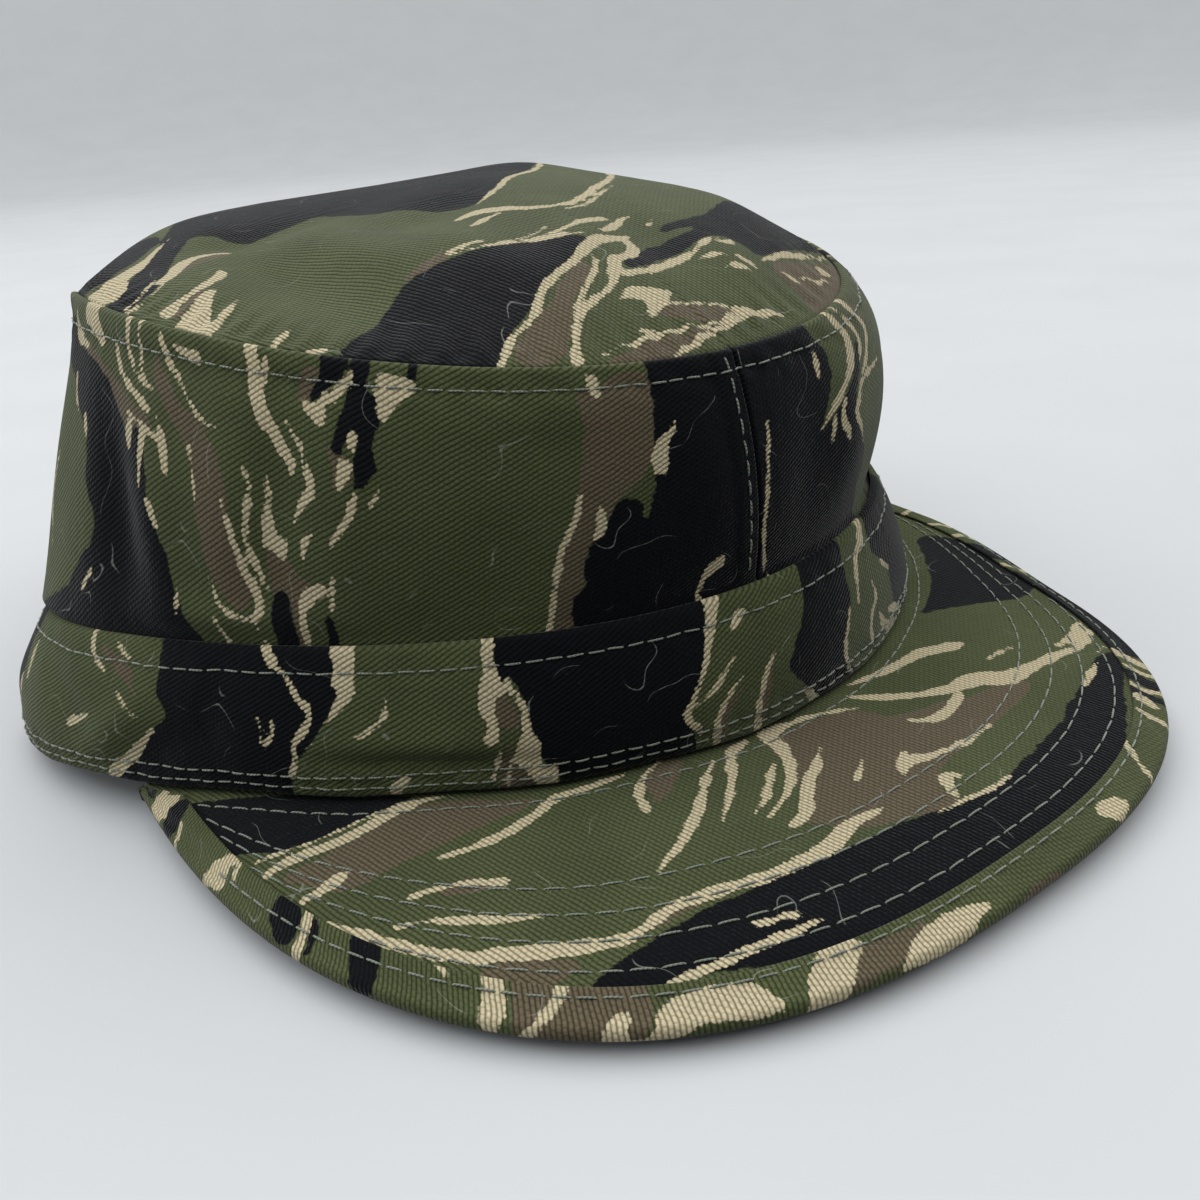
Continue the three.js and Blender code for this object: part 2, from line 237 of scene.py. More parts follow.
def dome(t, k, drop=0.0):
    """The top: k 0 in its middle, 1 at the top seam; drop is how far below its upper face."""
    rim = crown(t, np.ones_like(k * t), -1.5)
    x, y = rim[..., 0] * k, lerp(RIM_BACK, rim[..., 1], k)
    lean = 0.093 * x + 0.021 * y + k * (3 * near(t, -120, 42) - 3.6 * near(t, 60, 50))
    rise = DOME_HEIGHT - rim_height(t) + lean
    wave = folds(x, y, DOME_FOLDS) * smooth(1 - k, 0, 0.12)
    turn = np.degrees(t)
    gather = np.sin(turn * 1.9 + 2 * np.sin(turn / 9)) * 0.34 * np.exp(-((1 - k) * 80 / 6.5) ** 2)
    fullness = DOME_POWER + 3.4 * near(t, -126, 34)
    z = rim[..., 2] + (1 - k ** fullness) * rise + wave + gather * smooth(1 - k, 0, 0.03) - drop
    return np.stack([x, y, z], -1)


def visor_edge(side, inset):
    """Outline of the visor, from the wearer's right (-1) to the left (1), drawn in by inset."""
    end_y = oval(np.array(VISOR_END), HEM_X, HEM_Y, HEM_POWER)[1]
    x, y = oval(side * np.pi / 2, VISOR_HALF - inset, HEM_Y + VISOR_LENGTH + end_y - inset,
                VISOR_POWER)
    x = x - 4.2 * smooth(side, 0.2, 0.7) * (1 - 1.4 * smooth(side, 0.6, 0.92))
    end_z = 7.8 * smooth(math.cos(VISOR_END), -0.75, 1) - 2.7
    z = lerp(2.5, end_z, side ** 2) + 0.1 + 1.5 * side + 2.95 * side ** 2
    return np.stack([x, y + end_y, z], -1)


def visor(side, k, rise=0.0, inset=EDGE):
    """A point of the visor: k 0 at its tucked edge, 1 at its outline; rise from mid surface."""
    inner = band(side * VISOR_END, 0 * side, -VISOR_TUCK)
    inner[..., 2] -= 2.3
    p = inner + (visor_edge(side, inset) - inner) * np.asarray(k)[..., None]
    rise = rise * (1 - 0.45 * smooth(k, 0.86, 1))
    p[..., 2] += rise + 1.5 * k * swell(k) * (1 - side ** 2)
    p[..., 2] += folds(p[..., 0], p[..., 1], VISOR_FOLDS, 1) * smooth(1 - k, 0, 0.3)
    return p


def visor_width(side):
    """From the tucked edge to the outline."""
    return np.linalg.norm(visor(side, 0 * side + 1.0) - visor(side, 0 * side), axis=-1)


# ---------- print ----------
# Colours lie over olive in the order brown, black, tan. Outlines and strokes were drawn on
# the flat cloth: (round the cap, up from the band) for crown and band, (x, y) in plan
# for the top and the visor. A stroke is its middle line and its widths along it.
def outline(points):
    """Corners of an outline cut once, so that it turns softly."""
    p = np.array(points, float)
    after = np.roll(p, -1, 0)
    return np.stack([lerp(p, after, 0.25), lerp(p, after, 0.75)], 1).reshape(-1, 2)


def inside_distance(x, y, points):
    """Distance to an outline, positive inside it."""
    p = outline(points)
    best = np.full(x.shape, 1e9)
    inside = np.zeros(x.shape, bool)
    for a, b in zip(p, np.roll(p, -1, 0)):
        d, _ = segment_distance(x, y, a, b)
        best = np.minimum(best, d)
        if a[1] != b[1]:
            crosses = (a[1] > y) != (b[1] > y)
            inside ^= crosses & (x < a[0] + (y - a[1]) * (b[0] - a[0]) / (b[1] - a[1]))
    return np.where(inside, best, -best)


def stroke_distance(x, y, points, widths):
    """Distance inside a stroke of changing width, negative outside it."""
    p = np.array(points, float)
    w = np.atleast_1d(np.array(widths, float))
    stops = np.linspace(0, 1, len(w))
    w = np.interp(np.linspace(0, 1, len(p)), stops, w)
    fine = np.linspace(0, len(p) - 1, (len(p) - 1) * 3 + 1)
    spline = [smooth_line(p[:, axis], fine) for axis in (0, 1)]
    w = np.interp(fine, np.arange(len(p)), w)
    best = np.full(x.shape, -1e9)
    for j in range(len(fine) - 1):
        a = (spline[0][j], spline[1][j])
        b = (spline[0][j + 1], spline[1][j + 1])
        d, k = segment_distance(x, y, a, b)
        best = np.maximum(best, lerp(w[j], w[j + 1], k) / 2 - d)
    return best


def smooth_line(values, at):
    """Catmull-Rom curve through evenly numbered values."""
    v = np.concatenate([[2 * values[0] - values[1]], values, [2 * values[-1] - values[-2]]])
    j = np.minimum(at.astype(int), len(values) - 2)
    k = at - j
    a, b, c, d = v[j], v[j + 1], v[j + 2], v[j + 3]
    return b + 0.5 * k * (c - a + k * (2 * a - 5 * b + 4 * c - d + k * (3 * (b - c) + d - a)))


def layer(x, y, shapes):
    """Signed distance to a set of shapes: an outline is a list, a stroke a (points, widths)."""
    best = np.full(x.shape, -4.0)
    for shape in shapes:
        points = shape[0] if isinstance(shape, tuple) else shape
        low, high = np.min(points, 0) - 4, np.max(points, 0) + 4
        near_by = (x > low[0]) & (x < high[0]) & (y > low[1]) & (y < high[1])
        if not near_by.any():
            continue
        if isinstance(shape, tuple):
            d = stroke_distance(x[near_by], y[near_by], *shape)
        else:
            d = inside_distance(x[near_by], y[near_by], shape)
        best[near_by] = np.maximum(best[near_by], d)
    return best


CROWN_PRINT = {
    "black": [
        [(-125, 38.3), (-120, 38), (-115, 36), (-112, 33.5), (-110, 32), (-108, 30.3),
         (-107, 27), (-105.5, 29), (-104, 31), (-102, 30.5), (-100.5, 27), (-100, 21),
         (-98.5, 18), (-97, 14), (-96.5, 10), (-95.5, 6), (-94, 2.5), (-92.5, -3), (-150, -3),
         (-140, 2), (-128, 5), (-124, 9), (-121.5, 11.5), (-118.5, 13), (-118, 16.5),
         (-120, 19), (-121.7, 22), (-121.3, 26), (-124, 29), (-128, 31), (-131, 34),
         (-140, 37), (-155, 38), (-168, 35.5), (-176, 31), (-186, 27), (-197, 26),
         (-204, 29), (-195, 33), (-180, 38), (-175, 43), (-165, 44.5), (-150, 44), (-140, 42)],
        [(-184, -3), (-181, 6), (-184, 14), (-190, 20), (-198, 18), (-204, 8), (-206, -3)],
        [(-68.5, 38.5), (-66.5, 40.5), (-65.5, 43.5), (-65, 48), (-60, 48), (-61.5, 43),
         (-63.5, 41), (-65.5, 39.8), (-67, 38.3)],
        [(-60, 48), (-61.5, 41), (-63, 36.5), (-64.2, 34), (-65.2, 31.2), (-63.2, 31),
         (-62.3, 33.5), (-61.2, 35.2), (-60.5, 34.5), (-61.3, 31), (-62, 28), (-62.7, 25.8),
         (-60.8, 26), (-59.5, 28), (-58.3, 29.5), (-58.8, 31.5), (-58, 34.3), (-56.8, 36.8),
         (-56.5, 39.3), (-57.8, 40.2), (-59, 41.5), (-57.5, 44), (-57.5, 48)],
        [(-53.3, 41.5), (-52, 43), (-51.7, 48), (-49.5, 48), (-50.6, 43.5), (-52, 41.7)],
        [(-17, 48), (-16, 42), (-16.6, 37.5), (-17.2, 32.5), (-18.5, 28), (-18.2, 24.5),
         (-19.5, 20), (-20.6, 18), (-21, 22), (-23.7, 23), (-25, 21.5), (-26.2, 18.5),
         (-28, 16), (-29.5, 15.7), (-30, 13.5), (-30.8, 10), (-30.8, 7.5), (-32.5, 5.5),
         (-33.3, 3), (-33.3, -3), (37, -3), (32, 4), (30.5, 9), (32, 13), (31, 17),
         (29.5, 19), (27.5, 22), (26.5, 26), (28, 29), (30, 31.5), (33, 34), (36, 36.5),
         (34, 38), (31, 35), (28, 32.5), (24, 29.5), (20, 27), (16.5, 25.3), (18.5, 29.5),
         (21.5, 34), (22, 37.5), (21, 41), (19, 43.5), (18.5, 48)],
        [(-80.5, -3), (-79.5, 4), (-78.8, 7.5), (-77.8, 9.3), (-76.2, 9), (-76, 5), (-76.2, -3)],
        [(-71.5, -3), (-71, 3), (-70.3, 6), (-69.3, 4.5), (-70, -3)],
    ],
    "brown": [
        [(-99, 42), (-97, 39), (-93, 36), (-88, 33.5), (-85.5, 31), (-84, 28), (-83.5, 24),
         (-83, 16), (-82, 11), (-82.5, 6.5), (-84.5, 5.8), (-87.5, 8), (-89, 12), (-90, 16),
         (-90.5, 28), (-92, 31), (-95, 33.5), (-98, 36), (-100, 39)],
        [(-79, 13), (-78.5, 16), (-76, 17), (-75, 14), (-74, 11.5), (-72, 11), (-71, 8.5),
         (-73, 6), (-74.5, 3.5), (-75.5, -3), (-77.5, 3), (-78.5, 8)],
        [(-70, 38), (-69.5, 41), (-68, 43.5), (-65.5, 43.5), (-66, 40.5), (-68.5, 38)],
        [(-66, 33), (-65, 28), (-65.5, 25), (-62.5, 27), (-61.5, 30)],
        [(-28.5, 41), (-25, 41.5), (-22, 43.5), (-17, 43.8), (-15.5, 41.5), (-16.5, 36),
         (-17, 31), (-19, 27), (-22, 24.5), (-24, 23), (-25.5, 20), (-27, 16.5), (-29.5, 14.5),
         (-30.5, 11), (-30.5, 8), (-32.5, 5), (-33, -3), (-36.5, -3), (-35.5, 6), (-34.5, 12),
         (-32.5, 17), (-30.5, 21.5), (-30, 25), (-29, 30), (-27.5, 35)],
        [(-135, 42), (-118, 38.5), (-112, 36.5), (-106, 34.5), (-100, 33), (-98, 31),
         (-103, 30.5), (-108, 30), (-112, 32.5), (-115, 36), (-125, 38.6)],
        [(38, 44), (50, 42), (60, 38), (66, 33), (58, 34), (48, 38), (40, 40)],
        [(-196, 48), (-190, 40), (-197, 35), (-203, 34), (-206, 40), (-205, 48)],
        ([(-150, 6), (-158, 14), (-163, 24), (-160, 31)], [1, 6, 5, 1]),
    ],
    "tan": [
        [(-128, 48), (-122, 48), (-121, 43.5), (-118.5, 42), (-117, 40.3), (-119, 40),
         (-122, 41.5), (-130, 42.5)],
        [(-108, 30), (-106.8, 26.7), (-105.3, 28.5), (-104.8, 31), (-106, 32)],
        [(-102.6, 30.8), (-100.7, 30.3), (-101.3, 27.5), (-102.2, 22), (-102.7, 24)],
        [(-98.5, 33.8), (-96.3, 31.5), (-95.3, 28), (-95.7, 24.7), (-97, 26.5), (-97.5, 30)],
        [(-95.8, 43.3), (-91, 43), (-88, 43.2), (-87.8, 40.9), (-90.5, 41), (-93.5, 42)],
        [(-76.7, 28.3), (-76.3, 24), (-76.8, 20), (-75.5, 17), (-74.5, 18), (-75, 15.5),
         (-76, 12.8), (-77.5, 15), (-79, 16.5), (-78.5, 19.5), (-77.5, 23)],
        [(-69.5, 38.5), (-67, 38), (-65.5, 40), (-64, 41), (-65.5, 37), (-66.5, 34.2),
         (-68.5, 36.5)],
        [(-65.4, 38.5), (-64, 41), (-61.5, 42.5), (-60, 44.5), (-61, 41.5), (-62.5, 39.5),
         (-64, 38)],
        [(-56.5, 43.5), (-54, 43.3), (-51, 42.5), (-51.5, 40.8), (-54, 39.5), (-56.2, 36),
         (-57.3, 37), (-56.8, 39.5), (-58, 41), (-57, 42.5)],
        [(-62.8, 33), (-61.5, 35.2), (-60.7, 34.2), (-61.3, 32), (-62, 31.5)],
        [(-64.5, 31), (-62.3, 30.3), (-62.3, 28.5), (-63.3, 27), (-65, 25.5), (-64.5, 28)],
        [(-26.5, 44.5), (-24, 43), (-24.5, 39.5), (-26, 40.5)],
        [(-27, 22), (-26.6, 18), (-28, 15.8), (-29.3, 16), (-28, 18.5), (-27.5, 21)],
        [(-13.2, 35), (-13.5, 33), (-15.2, 31.5), (-15.5, 29.5), (-16, 27), (-16.3, 24.7),
         (-17, 25.8), (-18.7, 26), (-18.3, 29), (-17.3, 31.5), (-15.5, 32.5), (-14.5, 34.5)],
        [(-13.5, -3), (-12, 3.5), (-10.8, 6.8), (-9, 7.2), (-8, 8.3), (-7.3, 7.5),
         (-7.5, 6), (-9.5, 5), (-11.5, 3.5), (-12.2, -3)],
        ([(-112.5, 40.8), (-111, 38.8), (-108.3, 37), (-103.3, 35), (-100, 33.7)], 1),
        ([(-108.3, 46), (-108, 41.7), (-106.3, 39.2), (-103.3, 37.5), (-99, 36.3)], [1.2, 0.4]),
        ([(-104.2, 46), (-103.8, 40.8), (-102.5, 38), (-99.2, 36.4)], [1.2, 0.3]),
        ([(-106.3, 32.5), (-101.7, 31.7), (-98, 30.2)], 0.8),
        ([(-97.9, 43.8), (-96.2, 40.8), (-93.3, 38.8), (-90.8, 36.3), (-87.9, 34.2),
          (-84.6, 33)], [1.2, 0.4]),
        ([(-77.9, 46), (-77.1, 40), (-76.2, 35.8), (-74.2, 32.5), (-72.3, 29.2),
          (-72.5, 27)], [2.2, 2.5, 2.3, 2, 1.8, 0.5]),
        ([(-75, 43.5), (-75.8, 40)], 1),
        ([(-72.5, 35), (-70.4, 32), (-69.6, 28.3), (-69.3, 25.4), (-71.3, 23), (-73, 20.3)],
         [0.4, 0.9, 1.4, 1.6, 1.2, 0.3]),
        ([(-90.6, 29.6), (-90, 25), (-90, 22.5)], 0.6),
        ([(-89.3, 10.8), (-88.3, 7.5), (-86.3, 5.4), (-83.8, 4.6), (-81.7, 5.4), (-81.3, 8.3),
          (-82.5, 11.7), (-83.3, 15.8), (-83.8, 20), (-84.3, 23)],
         [0.4, 0.8, 0.9, 0.9, 1.4, 1.5, 1.5, 1.2, 1, 0.3]),
        ([(-80, 28.3), (-79.6, 25), (-80.8, 20.8), (-81.3, 17.5), (-80.8, 13.3), (-79.6, 9.2)],
         [0.3, 0.8, 0.9, 0.9, 0.9, 0.5]),
        ([(-62, 25.8), (-63.8, 21.7), (-65.8, 19.2), (-67.7, 16.3)], [0.5, 1.3, 1, 0.2]),
        ([(-58.3, 28), (-58.8, 25.8), (-60.4, 23.2)], [0.3, 1, 0.2]),
        ([(-70, 19.2), (-71.7, 17), (-72.5, 14.6)], [0.3, 1.2, 0.3]),
        ([(-68, 12), (-68.8, 9.2), (-69.3, 6)], [0.3, 1, 0.4]),
        ([(-70.8, 9.6), (-73, 8.3), (-74.2, 5), (-75, -2)], [2, 2.4, 1.5, 0.8]),
        ([(-100, 21.3), (-98.8, 18.8), (-98, 17)], [0.9, 0.8, 0.2]),
        ([(-96.3, 10.8), (-96, 8.3), (-96.3, 5)], [0.3, 0.8, 0.3]),
        ([(-89.2, 4.6), (-88.3, -2)], 0.8),
        ([(-82.1, 3), (-81.7, -2)], 0.6),
        ([(-30, 24), (-30.7, 21), (-32.3, 17.5), (-34, 14), (-35, 10), (-36, 5), (-37.5, -2)],
         [0.6, 0.9, 0.9, 1, 1, 1.2, 1.3]),
        ([(-121.2, 6.3), (-118.7, 9)], 0.6),
        ([(3.3, 31), (1.7, 17.5), (1, 10), (1.5, 3.3), (2.5, -2)], 0.7),
        ([(18.3, 40), (18.3, 37.5), (18, 35.5)], [0.8, 1.6, 0.6]),
        ([(16.2, 25), (19.5, 28), (23, 30.5), (26, 32.5)], [0.4, 1, 1.2, 1]),
        ([(27, 46), (29.5, 42.5), (31, 40), (30.5, 37), (28, 34), (25, 32)], [1, 2, 2.5, 3, 2, 1]),
        ([(31, 46), (34, 42), (36, 39.5), (35.5, 36.5), (33, 34)], [0.6, 1.2, 1.8, 1.4, 0.3]),
        ([(36, 46), (40, 41.5), (42, 38.5), (40, 36), (36, 33.5), (32, 31.5)], [1.6, 1.4, 0.8]),
        ([(44, 31.5), (38, 31), (32, 30.5), (29, 28), (27, 25.5), (28, 22.5), (29.5, 18.5)],
         [0.5, 1, 1.2, 1.2, 1.5, 1.2, 0.4]),
        ([(24, 29), (22.5, 26), (23.5, 23), (24, 21)], [1, 1.8, 1.6, 0.3]),
        ([(20.5, 27), (19.5, 24), (19, 22)], [0.8, 1, 0.4]),
        ([(-138, 43), (-132, 40.5), (-125, 39.5)], [1, 2, 0.5]),
        ([(-131, 34.5), (-130, 32), (-127, 30)], [1.5, 1, 0.5]),
        ([(-123.5, 30), (-122, 27)], [1.5, 0.6]),
        ([(-144, 5), (-152, 13), (-156, 22), (-152, 31)], [0.4, 1.4, 1.8, 0.4]),
        ([(-168, 31), (-173, 22), (-169, 12), (-174, 2)], [0.5, 1.6, 2.2, 0.6]),
        ([(-180, -2), (-177.5, 7), (-181, 15), (-188, 21.5)], [1.6, 1.2, 1.6, 0.4]),
        ([(-186, 44), (-190, 37), (-199, 33)], [1.2, 1.8, 0.4]),
        ([(-139, 24), (-143, 17), (-140, 10)], [0.3, 1.4, 0.4]),
    ],
}

BAND_PRINT = {
    "black": [
        [(-107, 28), (-105.5, 22), (-105.5, 17), (-104, 14.5), (-104.3, 12.5), (-107, 10.5),
         (-110, 7.5), (-114, 4), (-116, 2.5), (-117, -3), (-82.5, -3), (-82, 3), (-81, 6),
         (-80, 8), (-78.5, 9), (-76, 12.5), (-74, 15.5), (-72, 18.5), (-73, 21), (-72.5, 28)],
        [(-48.2, 28), (-48.5, 20), (-47.5, 17.8), (-46.5, 19.8), (-45.3, 17.5), (-44, 14),
         (-44, 11), (-43, 8), (-43, 5), (-42, 3), (-40.5, 4), (-40.3, -3), (-18, -3),
         (-18, 2.5), (-18.5, 5), (-19.5, 7.5), (-18, 10), (-16, 13), (-14, 17), (-13, 21),
         (-12, 28)],
        [(8.5, 28), (8, 21), (6.5, 17.5), (4, 14.5), (2, 11.5), (0.8, 10), (2.5, 7),
         (4.5, 4.5), (8, 0), (9, -3), (24, -3), (18, 2.5), (17, 5), (17, 8), (18, 11),
         (19.5, 13), (20.5, 16), (20.5, 20), (21.5, 23), (22, 28)],
        [(33, 18.5), (33.5, 22), (36, 28), (60, 28), (66, 17), (75, 10), (90, 3), (92, -3),
         (47, -3), (40, 5), (39, 10), (38.5, 13), (36, 16.5)],
    ],
    "brown": [
        [(-50, 12), (-49, 16), (-47.5, 17), (-45.8, 15), (-45.5, 12), (-47, 9), (-48.5, 6),
         (-49.5, 2), (-49.5, -3), (-43.5, -3), (-45, 3), (-47, 6), (-47, 8), (-46, 11)],
        ([(-13.3, 1), (-12.3, 6), (-9, 9.5)], [1.6, 1.8, 0.5]),
        ([(-5, 3), (-4, 8), (-2, 12)], [1.2, 1.6, 0.5]),
        ([(-120, 23), (-114, 20), (-110, 16)], [1, 2.5, 0.6]),
    ],
    "tan": [
        ([(-107, 10.5), (-110, 7.5), (-113, 4.5), (-116.5, 2), (-118, -2)], [0.6, 1.8, 2.4, 2.4]),
        ([(-86, 26), (-84, 22.8), (-81.5, 20.5), (-80, 18), (-78, 16), (-77.8, 14), (-79, 12),
          (-80.5, 10), (-81, 7), (-82, 3.5)], [1.5, 1.5, 1, 0.8, 1.2, 1.2, 1.2, 1, 0.9, 1]),
        [(-75, 28), (-73.5, 22), (-74, 19.5), (-72.5, 18.3), (-74.5, 15), (-77, 11), (-79, 8.5),
         (-78.3, 9.5), (-75.5, 13), (-72.5, 16), (-70, 18), (-70.3, 21), (-70, 28)],
        ([(-86.8, 14), (-86, 12), (-86.5, 10)], [0.3, 0.8, 0.3]),
        ([(-84, 14.5), (-84.2, 12), (-85.7, 9)], [0.2, 0.7, 1]),
        ([(-65.5, 17), (-66, 14.5), (-68, 12.5), (-71, 11)], [0.4, 1, 0.9, 0.3]),
        ([(-66, -1), (-65, 2), (-63.5, 3)], [1.5, 2, 1]),
        [(-49.8, 28), (-50, 22), (-51, 18), (-51.5, 14.5), (-50, 12), (-51.2, 9), (-50.3, 8),
         (-49, 9.5), (-48.5, 12), (-49.5, 15), (-48, 17), (-46.5, 17), (-45, 14), (-45, 11),
         (-46.5, 8), (-47, 5), (-44.5, 2.5), (-43, -2), (-41, -2), (-40.5, 5), (-42, 3),
         (-43, 5), (-43, 8), (-44, 11), (-44, 14), (-45.3, 17.5), (-46.5, 19.8),
         (-47.5, 17.8), (-48.3, 20), (-48.2, 28)],
        ([(-50.5, 2), (-49.5, 5), (-48.5, 9)], [0.3, 0.8, 0.4]),
        ([(-48.5, 0.5), (-47.5, 5)], 0.5),
        ([(-11, 26), (-13, 21), (-14.5, 17), (-16.5, 13), (-18.5, 9.5), (-19.5, 7.5),
          (-18, 5), (-17, 3)], [3, 1.8, 1.1, 0.6, 1.2, 1.4, 1.2, 0.6]),
        ([(-18, 9), (-15, 10.5), (-12, 13), (-9.5, 15.3)], [0.3, 0.8, 1.1, 0.4]),
        ([(-14.2, -2), (-14.2, 4), (-13, 7), (-11, 9.5), (-8.5, 11.5)], [1, 1.3, 1, 0.9, 0.3]),
        ([(-6.3, -2), (-6, 4), (-5, 8), (-3.5, 11), (-1.5, 13.5)], [1.2, 1.2, 0.9, 0.9, 0.3]),
        ([(-9, 20), (-7, 21.5), (-5, 22.3)], [0.6, 1.8, 0.3]),
        ([(3.8, 4.5), (6, 2), (8, -1)], [0.6, 1.8, 2]),
        ([(19.5, 13.5), (18, 11), (16.5, 7.5), (16.5, 4.5), (18.5, 1)], [0.6, 1.3, 0.9, 0.8]),
        ([(33, 26), (30, 22.5), (26, 20.5), (24, 17.5), (22.8, 13)], [2, 2, 1.6, 1.5, 0.5]),
        ([(29.5, 14.5), (30, 11), (27, 8.5), (26.5, 5), (28.5, 1.5)], [0.4, 1, 1, 1, 0.3]),
        ([(30.5, 8.5), (32, 5.5), (35, 3), (40, 1), (44, -1)], [0.7, 1.5, 2, 2.2, 1]),
        ([(36, 6), (40, 4.5), (46, 1.5)], [1, 1.8, 1]),
        ([(34.5, 17), (38.5, 14), (40, 12)], [0.4, 1.2, 0.4]),
        ([(-124, 26), (-122.5, 22), (-121, 20.5), (-119, 19.5)], [1.2, 1, 0.6]),
        ([(-117, 24), (-113, 22)], 0.8),
        ([(-115.5, 17), (-112, 14.5), (-109.5, 12.5)], [0.4, 0.8, 0.3]),
        ([(-128, 9), (-122, 11.5)], [1.6, 0.5]),
    ],
}

